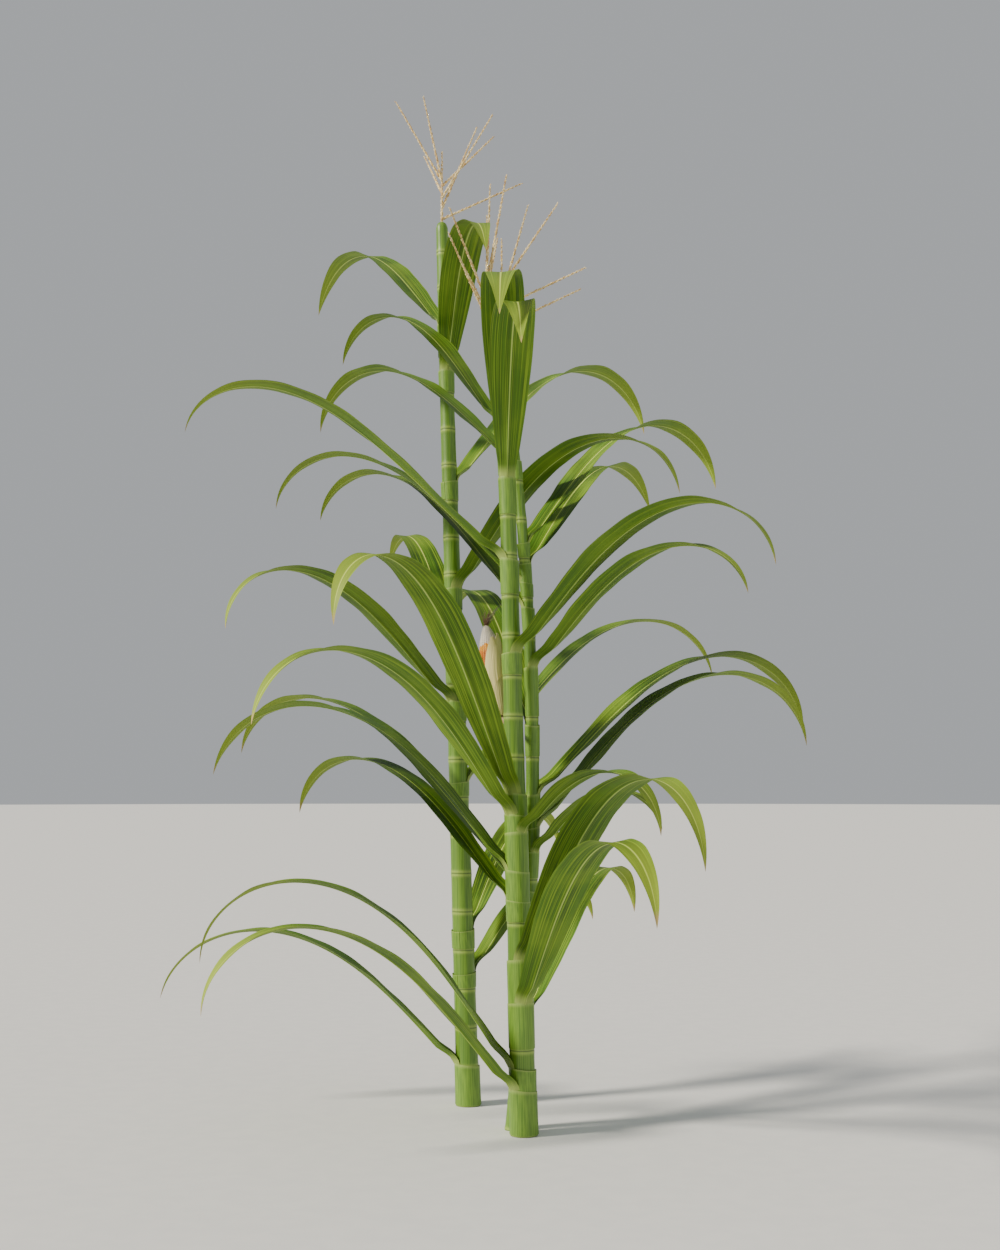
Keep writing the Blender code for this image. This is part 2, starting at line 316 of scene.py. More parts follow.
def paint(name, recipe):
    """A material whose recipe returns the value or wire for each socket of the shader."""
    material = bpy.data.materials.new(name)
    material.use_nodes = True
    bench = Bench(material.node_tree)
    shader = material.node_tree.nodes["Principled BSDF"]
    for socket, value in recipe(bench).items():
        bench.feed(shader.inputs[socket], value)
    return material


def tones(**named):
    """Named tones of red, green and blue, each ready for a socket."""
    return namedtuple("Tones", named)(*((*tone, 1.0) for tone in named.values()))


def own_place(bench):
    """Where the point is on the plant, in metres."""
    return bench.node("ShaderNodeTexCoord", None, None, "Object")


def sheet_place(bench, name):
    """How far across and how far along its leaf the point lies, from 0 to 1."""
    place = bench.node("ShaderNodeUVMap", {"uv_map": name})
    return bench.part(place, "X"), bench.part(place, "Y")


def raised(bench, pattern, height, strength):
    """The surface's direction once a pattern of this height stands out of it."""
    return bench.node("ShaderNodeBump", None, {
        "Strength": strength, "Distance": height, "Height": pattern})


print("every finish starts from its own map or from its place on the plant")


# %% [markdown]
# A maize blade is built from parallel veins. Between the strong ones run five or six fine ones, and the
# midrib is a pale, nearly white-green channel on the upper side and a rounded paler rib underneath. The
# colour is mixed from those three scales of stripe, then painted dappled light, lighter patches from a
# slow noise over the whole plant, and a yellower tone near the tip, where a blade ages first. A scan of a
# leaf would be easier, but it could not follow thirty-six blades of different widths without stretching.

# %% The blade's finish
RIB_WIDTH = 0.080            # width of the midrib at the collar, as a share of half the blade
RIB_SPREAD = 0.12            # how much that share grows towards the narrow tip
RIB_EDGE = (0.55, 1.25)      # where the midrib starts and ends its fading, in widths
FINE_VEINS = 150.0           # radians of the finest veins, over half the blade
VEIN_HEIGHT = 0.0008
DRY_RAGGED = 0.05            # how ragged the edge of the dry tip is, along the blade
DRY_AGE = 0.012              # how much further the oldest leaf has dried
BLADE = tones(
    deep=(0.018, 0.062, 0.004), green=(0.048, 0.138, 0.009), light=(0.240, 0.370, 0.020),
    underside=(0.120, 0.210, 0.035), rib=(0.600, 0.720, 0.150), rib_below=(0.420, 0.550, 0.120),
    tip=(0.350, 0.440, 0.045), dry=(0.420, 0.320, 0.120), collar=(0.380, 0.460, 0.130))


def blade_finish(bench):
    around, along = sheet_place(bench, "blade_map")
    across = around.math("PINGPONG", 0.5) * 4.0 - 1.0
    off_rib = across.math("ABSOLUTE")
    under = bench.ease(around, low=0.499, high=0.501)
    age = bench.node("ShaderNodeAttribute", {"attribute_name": "age"}, None, "Fac")

    strong = bench.grain(across, along, age, pace=(7.0, 0.9, 17.0), detail=3.0)
    fine = bench.ripples(across, FINE_VEINS)
    streak = bench.grain(across, along, age, pace=(22.0, 2.2, 9.0), detail=2.0)
    # a slow noise over the whole plant: it places the painted dappled light below, and it also rags the
    # dry tip
    mottle = bench.noise(own_place(bench), scale=7.0, detail=3.0)

    body = bench.layer(BLADE.deep, BLADE.green, strong, low=0.38, high=0.60)
    body = bench.layer(body, BLADE.light, streak, low=0.50, high=0.66, strength=0.85)
    body = bench.layer(body, BLADE.light, fine, strength=0.14)
    # painted dappled light: lighter patches where the slow noise is high
    body = bench.layer(body, BLADE.light, mottle, low=0.42, high=0.70, strength=0.35)
    body = bench.layer(body, BLADE.light, off_rib, low=0.93, high=1.0, strength=0.35)
    body = bench.layer(body, BLADE.underside, under, strength=0.22)

    rib_width = along ** 2 * RIB_SPREAD + RIB_WIDTH
    rib = 1.0 - bench.ease(off_rib, rib_width * RIB_EDGE[0], rib_width * RIB_EDGE[1])
    body = bench.layer(body, bench.blend(under, BLADE.rib, BLADE.rib_below), rib, strength=0.95)
    body = bench.layer(body, BLADE.tip, along, low=0.55, high=1.0, strength=0.42 + age * 0.25)
    dry = along + (mottle - 0.5) * DRY_RAGGED + age * DRY_AGE
    body = bench.layer(body, BLADE.dry, dry, low=0.972, high=1.0)
    near_collar = 1.0 - bench.ease(along, low=0.006, high=0.045)
    body = bench.layer(body, BLADE.collar, near_collar, strength=0.6)

    veins = (fine * 0.35 + strong * 0.9 + streak * 0.5) * (1.0 - bench.ease(along, low=0.40, high=0.80))
    return {
        "Base Color": body,
        "Roughness": 0.50 + strong * 0.16 + under * 0.12,
        "Normal": raised(bench, veins, height=VEIN_HEIGHT, strength=0.20),
        "Specular IOR Level": 0.22,
    }


BLADE_GREEN = paint("blade_green", blade_finish)
print("blade: a midrib over", RIB_WIDTH, "of each half, on", len(BLADE), "tones")

# %% [markdown]
# A cane is smooth and waxy, with fine lines up its length and a ring at each joint. The ring is a pale
# band with a thin dark groove under it, and the wax rubs off unevenly. The rings are level, so the height
# of a point is enough to place them: a ping-pong of the height gives the distance to the nearest joint.

# %% The finishes of cane and sheath
INTERNODE = 0.098            # metres from one joint of a cane to the next
GROOVE_HALF = 0.0016         # half the height of a joint's groove
BAND_RISE = 0.004            # how far from the joint its pale band lies
BAND_HALF = 0.0045
LINE_HEIGHT = 0.0006
CANE_LINES = Vector((420.0, 420.0, 5.0))     # long thin lines, many to the metre across and few up
CANE_PATCHES = Vector((60.0, 60.0, 6.0))
SHEATH_VEINS = 260.0         # radians of veins over a sheath's width
CANE = tones(
    line=(0.076, 0.178, 0.011), green=(0.172, 0.312, 0.025), patch=(0.075, 0.170, 0.012),
    band=(0.380, 0.500, 0.090), groove=(0.060, 0.095, 0.020))
SHEATH = tones(
    streak=(0.080, 0.190, 0.012), green=(0.180, 0.330, 0.026), vein=(0.300, 0.440, 0.060),
    patch=(0.065, 0.150, 0.012), mouth=(0.330, 0.430, 0.100))


def joint_distance(bench, height):
    """How far a height is from the nearest joint of the cane."""
    return (height + INTERNODE * 0.5).math("PINGPONG", INTERNODE * 0.5) * -1.0 + INTERNODE * 0.5


def cane_finish(bench):
    place = own_place(bench)
    lines = bench.noise(place * CANE_LINES, detail=2.0)
    broad = bench.noise(place * CANE_PATCHES, detail=3.0)
    distance = joint_distance(bench, bench.part(place, "Z"))
    body = bench.layer(CANE.line, CANE.green, lines, low=0.30, high=0.72)
    body = bench.layer(body, CANE.patch, broad, low=0.35, high=0.70, strength=0.55)
    body = bench.layer(body, CANE.band, bench.bell(distance - BAND_RISE, BAND_HALF), strength=0.55)
    body = bench.layer(body, CANE.groove, bench.bell(distance, GROOVE_HALF), strength=0.80)
    return {
        "Base Color": body,
        "Roughness": 0.34 + broad * 0.20,
        "Normal": raised(bench, lines, height=LINE_HEIGHT, strength=0.35),
    }


def sheath_finish(bench):
    across, along = sheet_place(bench, "sheet_map")
    veins = bench.ripples(across, SHEATH_VEINS)
    streak = bench.grain(across, along, 0.0, pace=(46.0, 1.2, 0.0), detail=3.0)
    mottle = bench.noise(own_place(bench), scale=22.0, detail=2.0)
    body = bench.layer(SHEATH.streak, SHEATH.green, streak, low=0.32, high=0.68)
    body = bench.layer(body, SHEATH.vein, veins, strength=0.14)
    body = bench.layer(body, SHEATH.patch, mottle, strength=0.25)
    body = bench.layer(body, SHEATH.mouth, along, low=0.90, high=1.0, strength=0.65)
    return {
        "Base Color": body,
        "Roughness": 0.42 + streak * 0.14,
        "Normal": raised(bench, veins * 0.6 + streak, height=LINE_HEIGHT, strength=0.35),
    }


CANE_GREEN = paint("cane_green", cane_finish)
SHEATH_GREEN = paint("sheath_green", sheath_finish)
print("cane: a joint every", INTERNODE, "m, with a groove", 2 * GROOVE_HALF, "m high")

# %% [markdown]
# The dry parts are simpler. The husk is papery and ribbed, the tassel is straw, the kernels are glossy
# and the silks are withered threads. Kernels and tassel flowers are hundreds of tiny things, so each of
# their pieces has one tone, dealt out piece by piece, with only a slow drift of colour over the plant.

# %% The dry finishes
HUSK_VEINS = 90.0            # radians of ribs over a husk leaf's width
HUSK_RIB_HEIGHT = 0.0008
DRIFT = 18.0                 # how quickly a tone drifts over the plant, in patches to a metre
HUSK = tones(
    cream=(0.700, 0.620, 0.270), tan=(0.580, 0.500, 0.180), rib=(0.800, 0.740, 0.390),
    foot=(0.480, 0.450, 0.140))


def husk_finish(bench):
    across, along = sheet_place(bench, "sheet_map")
    ribs = bench.ripples(across, HUSK_VEINS)
    streak = bench.grain(across, along, 0.0, pace=(16.0, 1.5, 0.0), detail=3.0)
    body = bench.layer(HUSK.cream, HUSK.tan, streak, low=0.30, high=0.75)
    body = bench.layer(body, HUSK.rib, ribs, strength=0.16)
    body = bench.layer(body, HUSK.foot, 1.0 - bench.ease(along, low=0.02, high=0.28))
    return {
        "Base Color": body,
        "Roughness": 0.58 + streak * 0.12,
        "Normal": raised(bench, ribs * 0.6 + streak, height=HUSK_RIB_HEIGHT, strength=0.5),
    }


def drift(pale, deep, roughness):
    """A recipe for small dry pieces: one tone that drifts slowly between two."""
    ends = tones(pale=pale, deep=deep)

    def recipe(bench):
        slow = bench.noise(own_place(bench), scale=DRIFT, detail=1.0)
        return {
            "Base Color": bench.layer(ends.pale, ends.deep, slow, low=0.35, high=0.65),
            "Roughness": roughness,
        }

    return recipe


HUSK_CREAM = paint("husk_cream", husk_finish)
STRAW_PALE = paint("tassel_straw_pale", drift((0.860, 0.690, 0.380), (0.760, 0.560, 0.270), 0.60))
STRAW_DEEP = paint("tassel_straw_deep", drift((0.620, 0.410, 0.170), (0.480, 0.280, 0.100), 0.66))
STALK_TAN = paint("tassel_stalk_tan", drift((0.640, 0.500, 0.200), (0.500, 0.430, 0.140), 0.55))
KERNEL_ORANGE = paint("kernel_orange", drift((0.560, 0.185, 0.002), (0.460, 0.125, 0.002), 0.42))
KERNEL_GOLD = paint("kernel_gold", drift((0.640, 0.290, 0.012), (0.560, 0.230, 0.008), 0.42))
KERNEL_PALE = paint("kernel_pale", drift((0.620, 0.580, 0.490), (0.520, 0.480, 0.400), 0.36))
COB_BROWN = paint("cob_brown", drift((0.300, 0.200, 0.090), (0.200, 0.160, 0.060), 0.60))
SILK_BROWN = paint("silk_brown", drift((0.050, 0.028, 0.015), (0.110, 0.055, 0.022), 0.50))
FLOOR_PALE = paint("floor_pale", drift((0.740, 0.735, 0.720), (0.720, 0.717, 0.705), 0.80))
print(len(bpy.data.materials), "finishes")

# %% [markdown]
# ## From a tree of nodes to a plain mesh
# A Geometry Nodes tree is a recipe with named inputs. `start_tree` makes an empty one, and `grow` runs it
# once on an empty carrier object, keeps what comes out as a plain mesh, and throws the carrier away. That
# leaves no live modifier behind, only the plain mesh.

# %% Start, close and run a tree
KINDS = {"number": "NodeSocketFloat", "count": "NodeSocketInt", "vector": "NodeSocketVector",
         "material": "NodeSocketMaterial", "shape": "NodeSocketGeometry"}


def start_tree(name, inputs):
    """A new tree, its bench and its named inputs as wires."""
    tree = bpy.data.node_groups.new(name, "GeometryNodeTree")
    for label, kind in inputs.items():
        tree.interface.new_socket(name=label, in_out="INPUT", socket_type=KINDS[kind])
    tree.interface.new_socket(name="Result", in_out="OUTPUT", socket_type=KINDS["shape"])
    bench = Bench(tree)
    source = tree.nodes.new("NodeGroupInput")
    return tree, bench, {label: Wire(bench, source.outputs[label]) for label in inputs}


def close_tree(bench, shape, material, weld=0.0):
    """End a tree: weld its seams, realize what was instanced, shade it smooth and give it its finish."""
    shape = bench.node("GeometryNodeRealizeInstances", None, {"Geometry": shape})
    if weld:
        shape = bench.node("GeometryNodeMergeByDistance", None, {"Geometry": shape, "Distance": weld})
    shape = bench.node("GeometryNodeSetShadeSmooth", None, {"Geometry": shape})
    shape = bench.node("GeometryNodeSetMaterial", None, {"Geometry": shape, "Material": material})
    bench.node("NodeGroupOutput", None, {"Result": shape})


def grow(name, tree, sizes, carrier_mesh=None):
    """Run a tree with these sizes and return the result as a plain mesh."""
    carrier = bpy.data.objects.new(name + "_carrier", carrier_mesh or bpy.data.meshes.new(name))
    bpy.context.scene.collection.objects.link(carrier)
    modifier = carrier.modifiers.new("grow", "NODES")
    modifier.node_group = tree
    for item in tree.interface.items_tree:
        if item.in_out == "INPUT" and item.name in sizes:
            modifier[item.identifier] = sizes[item.name]
    evaluated = carrier.evaluated_get(bpy.context.evaluated_depsgraph_get())
    mesh = bpy.data.meshes.new_from_object(evaluated)
    mesh.name = name
    bpy.data.objects.remove(carrier)
    return mesh


print("kinds of input:", ", ".join(KINDS))

# %% Put a finished mesh on the plant
CREASE = 50                  # degrees: edges sharper than this keep their edge
tally = {"pieces": 0, "triangles": 0, "open edges": 0}


def tidy_mesh(mesh):
    """Point every closed shell's faces outwards, keep its creases, and count its open edges."""
    shell = bmesh.new()
    shell.from_mesh(mesh)
    bmesh.ops.recalc_face_normals(shell, faces=shell.faces)
    shell.to_mesh(mesh)
    open_edges = sum(1 for edge in shell.edges if not edge.is_manifold)
    shell.free()
    mesh.shade_smooth()
    mesh.set_sharp_from_angle(angle=math.radians(CREASE))
    return open_edges


def place_piece(name, mesh, nodes=()):
    """Put a finished mesh on the plant's body, for the nodes it stands for."""
    open_edges = tidy_mesh(mesh)
    piece = bpy.data.objects.new(name, mesh)
    bpy.context.scene.collection.objects.link(piece)
    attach(piece, "root")
    if nodes:
        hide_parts(*nodes)
    tally["triangles"] += sum(len(face.vertices) - 2 for face in mesh.polygons)
    tally["pieces"] += 1
    tally["open edges"] += open_edges
    return piece


print("edges over", CREASE, "degrees stay sharp")

# %% [markdown]
# ## Three canes
# Each cane leans a little and thins as it climbs. These are the same growing rules as the packed model's:
# a foot, a lean, a bow and two tapers. On them a real cane adds what a plain tapered tube lacks, a swollen
# joint with a groove at every ring and shallow flutes up its sides. A cylinder whose rings are level keeps
# the foot flat on the ground, which a tube swept along a leaning line would not. Its rings are crowded
# towards the joints, where the shape changes within millimetres.

# %% The growing rules of a cane
Cane = namedtuple("Cane", "foot lean bow nod nod_from base shoulder shoulder_at neck")

CANES = {
    "main": Cane((0.000, 0.000), -0.025, 0.00, -0.20, 1.50, 0.031, 0.018, 1.66, 0.007),
    "side": Cane((-0.023, 0.057), -0.015, 0.06, 0.00, 1.95, 0.021, 0.012, 1.60, 0.006),
    "rear": Cane((-0.138, 0.332), -0.033, 0.00, 0.00, 2.34, 0.030, 0.0175, 2.15, 0.016),
}
TOPS = {name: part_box(name + "_stem")[1].z for name in CANES}
FOOT_FLARE = 0.06            # extra radius at the ground, as a share
FLARE_HEIGHT = 0.04
JOINT_SWELL = 0.0011         # how far a joint stands out
JOINT_HALF = 0.009           # half the height that the swelling takes
JOINT_GROOVE = 0.0007        # how deep the groove is cut under it
FLUTES = 9
FLUTE = 0.012                # depth of the flutes, as a share of the radius
CANE_SIDES = 30
RINGS_PER_JOINT = 12
CROWDING = 0.8               # how strongly the rings gather at the joints
DOME = 0.012                 # height over which the upper end rounds off
DOME_LOSS = 0.5              # share of the radius that it loses there


def cane_centre(name, height):
    """Centre of a cane at a height."""
    cane = CANES[name]
    sideways = cane.lean * height + cane.bow * math.sin(math.pi * min(height / TOPS[name], 1.0))
    sideways += cane.nod * max(0.0, height - cane.nod_from) ** 2
    return Vector((cane.foot[0] + sideways, cane.foot[1], height))


def cane_radius(name, height):
    """Radius of a cane at a height, without its joints."""
    cane = CANES[name]
    share = min(height / cane.shoulder_at, 1.0)
    above = max(0.0, height - cane.shoulder_at) / (TOPS[name] - cane.shoulder_at)
    radius = cane.base + (cane.shoulder - cane.base) * share + (cane.neck - cane.shoulder) * above
    return radius * (1.0 + FOOT_FLARE * math.exp(-height / FLARE_HEIGHT))


print({name: round(top, 3) for name, top in TOPS.items()}, "m to the upper cut of each cane")

# %% The tree of a cane


def cane_tree():
    """A fluted cylinder that follows a cane's rules, with a swollen joint at each ring."""
    tree, bench, given = start_tree("cane", {
        "Foot": "vector", "Top": "number", "Lean": "number", "Bow": "number", "Nod": "number",
        "Nod From": "number", "Base": "number", "Shoulder": "number", "Shoulder At": "number",
        "Neck": "number", "Rings": "count", "Material": "material"})
    tube = bench.node("GeometryNodeMeshCylinder", {"fill_type": "TRIANGLE_FAN"}, {
        "Vertices": CANE_SIDES, "Side Segments": given["Rings"], "Radius": 1.0, "Depth": 1.0})
    here = bench.node("GeometryNodeInputPosition")
    rough_height = (bench.part(here, "Z") + 0.5) * given["Top"]
    turns = rough_height * (2.0 * math.pi / INTERNODE)
    height = rough_height - turns.math("SINE") * (CROWDING * INTERNODE / (2.0 * math.pi))
    height = height.math("MAXIMUM", 0.0).math("MINIMUM", given["Top"])

    share = (height / given["Shoulder At"]).math("MINIMUM", 1.0)
    above = (height - given["Shoulder At"]).math("MAXIMUM", 0.0) / (given["Top"] - given["Shoulder At"])
    radius = given["Base"] + (given["Shoulder"] - given["Base"]) * share
    radius = radius + (given["Neck"] - given["Shoulder"]) * above
    radius = radius * (1.0 + (height / -FLARE_HEIGHT).math("EXPONENT") * FOOT_FLARE)
    distance = joint_distance(bench, height)
    radius = radius + bench.bell(distance, JOINT_HALF) * JOINT_SWELL
    radius = radius - bench.bell(distance, GROOVE_HALF) * JOINT_GROOVE
    angle = bench.part(here, "Y").math("ARCTAN2", bench.part(here, "X"))
    radius = radius * (1.0 + ((angle * FLUTES).math("SINE") - 1.0) * (0.5 * FLUTE))
    into_dome = ((height - given["Top"] + DOME) / DOME).math("MAXIMUM", 0.0)
    radius = radius * (1.0 - into_dome ** 2 * DOME_LOSS)

    sideways = given["Lean"] * height
    sideways = sideways + given["Bow"] * (height / given["Top"] * math.pi).math("SINE")
    sideways = sideways + given["Nod"] * (height - given["Nod From"]).math("MAXIMUM", 0.0) ** 2
    flat = here * Vector((1, 1, 0))
    spot = given["Foot"] + bench.xyz(sideways, 0.0, height) + flat * radius
    close_tree(bench, bench.moved(tube, spot), given["Material"])
    return tree


CANE_TREE = cane_tree()
print(len(CANE_TREE.nodes), "nodes make a cane")

# %% Grow the canes
for name, cane in CANES.items():
    top = TOPS[name]
    mesh = grow(name + "_cane", CANE_TREE, {
        "Foot": (*cane.foot, 0.0), "Top": top, "Lean": cane.lean, "Bow": cane.bow, "Nod": cane.nod,
        "Nod From": cane.nod_from, "Base": cane.base, "Shoulder": cane.shoulder,
        "Shoulder At": cane.shoulder_at, "Neck": cane.neck,
        "Rings": round(top / INTERNODE * RINGS_PER_JOINT), "Material": CANE_GREEN,
    })
    piece = place_piece(name + "_cane", mesh, [name + "_stem"])
    highest = max(vertex.co.z for vertex in mesh.vertices)
    print(piece.name, len(mesh.polygons), "faces,", round(highest, 3), "m high")

# %% [markdown]
# ## Thirty-six blades
# A leaf leaves its cane steeply, arches over and hangs. One rule describes them all: the slope of the
# midrib starts at `rise` and falls to `hang`, slowly at first and faster later, as `curl` says. The tree
# below walks that rule step by step and adds the steps up with Accumulate Field, which gives the midrib.
# A grid is then folded round it like a sleeve pressed flat: half of its columns make the upper side, the
# other half the underside, so the blade is one closed shell with real thickness, a keel under the midrib
# and nothing to solidify afterwards.

# %% The growing rules of a leaf
Leaf = namedtuple("Leaf", "height azimuth length rise hang curl")

LEAVES = {
    "main": [
        Leaf(0.10, 208, 1.00, 50, -90, 2.8),
        Leaf(0.15, 183, 1.02, 57, -90, 2.5),
        Leaf(0.30, 290, 0.95, 50, -90, 3.0),
        Leaf(0.40, 294, 1.06, 48, -88, 3.0),
        Leaf(0.54, 145, 0.87, 48, -82, 2.8),
        Leaf(0.61, 162, 1.03, 53, -76, 2.3),
        Leaf(0.70, 311, 0.56, 42, -88, 2.0),
        Leaf(0.74, 224, 0.96, 50, -82, 2.5),
        Leaf(0.79, 242, 1.06, 53, -98, 3.5),
        Leaf(1.13, 322, 0.88, 46, -84, 2.6),
        Leaf(1.36, 185, 0.97, 44, -82, 4.0),
        Leaf(1.56, 272, 0.88, 59, -60, 1.4),
        Leaf(1.64, 269, 0.87, 58, -62, 1.4),
        Leaf(1.70, 137, 0.78, 52, -80, 3.3),
    ],
    "side": [
        Leaf(0.26, 60, 0.81, 48, -88, 3.1),
        Leaf(0.56, 154, 1.09, 48, -82, 3.5),
        Leaf(0.65, 318, 0.46, 46, -75, 2.2),
        Leaf(0.71, 24, 1.03, 49, -85, 2.6),
        Leaf(0.79, 29, 1.06, 44, -88, 2.7),
        Leaf(0.96, 112, 0.82, 55, -72, 2.9),
        Leaf(1.10, 321, 0.74, 45, -78, 2.6),
        Leaf(1.25, 147, 0.86, 50, -80, 3.4),
        Leaf(1.31, 160, 0.88, 46, -84, 3.3),
        Leaf(1.36, 60, 0.88, 44, -55, 2.8),
        Leaf(1.41, 42, 0.94, 50, -78, 2.7),
        Leaf(1.62, 141, 0.86, 43, -86, 3.1),
    ],
    "rear": [
        Leaf(0.10, 185, 0.95, 48, -78, 2.4),
        Leaf(0.33, 45, 0.60, 48, -80, 2.4),
        Leaf(0.44, 62, 0.70, 50, -75, 2.8),
        Leaf(0.82, 27, 1.04, 52, -80, 2.9),
        Leaf(1.03, 221, 0.86, 43, -92, 3.0),
        Leaf(1.20, 112, 0.70, 52, -60, 3.2),
        Leaf(1.33, 320, 0.90, 51, -80, 2.3),
        Leaf(1.62, 45, 1.02, 49, -76, 2.8),
        Leaf(1.92, 280, 0.77, 53, -62, 1.6),
        Leaf(2.05, 122, 0.95, 43, -66, 3.0),
    ],
}
print(sum(len(leaves) for leaves in LEAVES.values()), "leaves")

# %% The sizes of a blade
BLADE_WIDTH = 0.110          # widest part of a full-sized blade
FULL_LENGTH = 1.05
COLLAR_SHARE = 0.40          # width at the collar, as a share of the widest part
WIDEST_AT = 0.42
TIP_CURVE = 2.1              # how the width runs out towards the tip: more is blunter
GUTTER = 0.13                # height of the margins over the midrib, as a share of the half width
COLLAR_GUTTER = 0.30         # how much more that is at the collar, and how far along it dies away
COLLAR_REACH = 0.22
GUTTER_CURVE = 1.3
CHANNEL_WIDTH = 0.0028       # the channel over the midrib
CHANNEL_DEPTH = 0.0008
MIDRIB_START = 0.0034        # how far outside the cane the midrib starts
BLADE_COLUMNS = 33           # columns round the folded grid, an odd number
COLUMN_CROWDING = 1.5        # how strongly the columns gather at the midrib
BLADE_ROWS = 74
BLADE_SKIN = 0.0011          # thickness of the blade beside its midrib
THICK_GROWS = (0.0, 0.004)   # along the blade
THICK_DIES = (0.985, 1.0)
KEEL = 0.0032                # how far the midrib stands out underneath, at the collar
KEEL_WIDTH = 0.0036
KEEL_CURVE = 0.7             # how late along the blade the keel thins
EDGE_POWER = 4               # how close to the margin the blade keeps its thickness
WAVE = 0.0075                # how far the margins wave
WAVES = 7.0                  # waves of a margin to a metre
WAVES_GROW = (0.04, 0.25)    # along the blade
WAVES_DIE = (0.80, 1.0)
MARGINS_APART = 3.0          # so that the two margins wave differently
CLASP_LENGTH = 0.070         # over this length the blade opens from clasping the cane
CLASP_BEGIN = -0.014         # below the collar, so that it is already opening there
CLASP_GAP = 0.0012
CLASP_RISE = 0.004           # how much higher the margins clasp than the midrib
CLASP_CLIMB = 0.93           # climb of the clasping part, as a share of its length
WELD = 0.00001
print("widest blade", BLADE_WIDTH, "m;", (BLADE_COLUMNS - 1) * (BLADE_ROWS - 1), "faces in each")

# %% The tree of a blade


def blade_tree():
    """A closed, keeled and waved blade along a midrib whose slope follows the growing rule."""
    tree, bench, given = start_tree("blade", {
        "Collar": "vector", "Cane Radius": "number", "Azimuth": "number", "Length": "number",
        "Rise": "number", "Hang": "number", "Curl": "number", "Half Width": "number",
        "Twist": "number", "Clasp": "number", "Seed": "number", "Age": "number",
        "Material": "material"})
    outward = bench.xyz(given["Azimuth"].math("COSINE"), given["Azimuth"].math("SINE"), 0.0)
    side = bench.xyz(given["Azimuth"].math("SINE") * -1.0, given["Azimuth"].math("COSINE"), 0.0)

    line = bench.node("GeometryNodeCurvePrimitiveLine", None, {"End": (0.0, 0.0, 1.0)})
    line = bench.node("GeometryNodeResampleCurve", None, {"Curve": line, "Count": BLADE_ROWS})
    index = bench.node("GeometryNodeInputIndex")
    middle = ((index - 0.5) / (BLADE_ROWS - 1.0)).math("MAXIMUM", 0.0)
    slope = given["Rise"] - (given["Rise"] - given["Hang"]) * middle ** given["Curl"]
    pace = given["Length"] / (BLADE_ROWS - 1.0) * index.math("GREATER_THAN", 0.5)
    stride = outward * (slope.math("COSINE") * pace) + bench.xyz(0.0, 0.0, slope.math("SINE") * pace)
    walked = bench.node("GeometryNodeAccumulateField", {"data_type": "FLOAT_VECTOR"}, {"Value": stride})
    start = given["Collar"] + outward * (given["Cane Radius"] + MIDRIB_START)
    midrib = bench.moved(line, start + walked)

    grid = bench.node("GeometryNodeMeshGrid", None, {
        "Size X": 1.0, "Size Y": 1.0, "Vertices X": BLADE_COLUMNS, "Vertices Y": BLADE_ROWS})
    grid = bench.noted(grid, "blade_map", grid.also("UV Map"), kind="FLOAT2", domain="CORNER")
    grid = bench.noted(grid, "age", given["Age"])
    here = bench.node("GeometryNodeInputPosition")
    around = bench.part(here, "X") + 0.5
    along = bench.part(here, "Y") + 0.5
    evenly = around.math("PINGPONG", 0.5) * 4.0 - 1.0
    across = evenly.math("SIGN") * evenly.math("ABSOLUTE") ** COLUMN_CROWDING
    off_rib = across.math("ABSOLUTE")
    under = around.math("GREATER_THAN", 0.5)

    found = bench.node("GeometryNodeSampleCurve", {"mode": "FACTOR", "use_all_curves": True}, {
        "Curves": midrib, "Factor": along}, "Position")
    tangent = found.also("Tangent")
    upward = tangent.arrow("CROSS_PRODUCT", side).arrow("NORMALIZE")
    twist = given["Twist"] * along ** 2
    sideways = side * twist.math("COSINE") + upward * twist.math("SINE")
    lifted = upward * twist.math("COSINE") - side * twist.math("SINE")

    swell = (along / WIDEST_AT).math("MINIMUM", 1.0) * (0.5 * math.pi)
    run = ((along - WIDEST_AT) / (1.0 - WIDEST_AT)).math("MAXIMUM", 0.0)
    share = COLLAR_SHARE + (1.0 - COLLAR_SHARE) * swell.math("SINE") - run ** TIP_CURVE
    half = given["Half Width"] * share.math("MAXIMUM", 0.0)
    offset = half * across
    margin = across.math("SIGN") * MARGINS_APART
    ripple_place = bench.xyz(along * given["Length"] * WAVES, margin, given["Seed"])
    ripple = bench.noise(ripple_place, detail=1.0) - 0.5
    calm = bench.ease(along, *WAVES_GROW) * (1.0 - bench.ease(along, *WAVES_DIE))
    fold = GUTTER + (1.0 - bench.ease(along, 0.0, COLLAR_REACH)) * COLLAR_GUTTER
    lift = half * off_rib ** GUTTER_CURVE * fold + ripple * calm * off_rib ** 2 * (2.0 * WAVE)
    lift = lift - bench.bell(offset, CHANNEL_WIDTH) * (1.0 - along) * CHANNEL_DEPTH
    inside_margin = 1.0 - off_rib ** EDGE_POWER
    keel = bench.bell(offset, KEEL_WIDTH) * KEEL * (1.0 - along) ** KEEL_CURVE * inside_margin
    ends = bench.ease(along, *THICK_GROWS) * (1.0 - bench.ease(along, *THICK_DIES))
    thickness = (keel + inside_margin * BLADE_SKIN) * ends * under
    open_blade = found + sideways * offset + lifted * (lift - thickness)

    turn = given["Azimuth"] + across * given["Clasp"]
    hug = given["Cane Radius"] + CLASP_GAP + thickness
    climb = along * given["Length"] * CLASP_CLIMB + off_rib ** 2 * CLASP_RISE
    clasping = given["Collar"] + bench.xyz(turn.math("COSINE") * hug, turn.math("SINE") * hug, climb)
    opened = bench.ease(along * given["Length"], CLASP_BEGIN, CLASP_LENGTH)
    spot = bench.meet(opened, clasping, open_blade)
    close_tree(bench, bench.moved(grid, spot), given["Material"], weld=WELD)
    return tree


BLADE_TREE = blade_tree()
print(len(BLADE_TREE.nodes), "nodes make a blade")

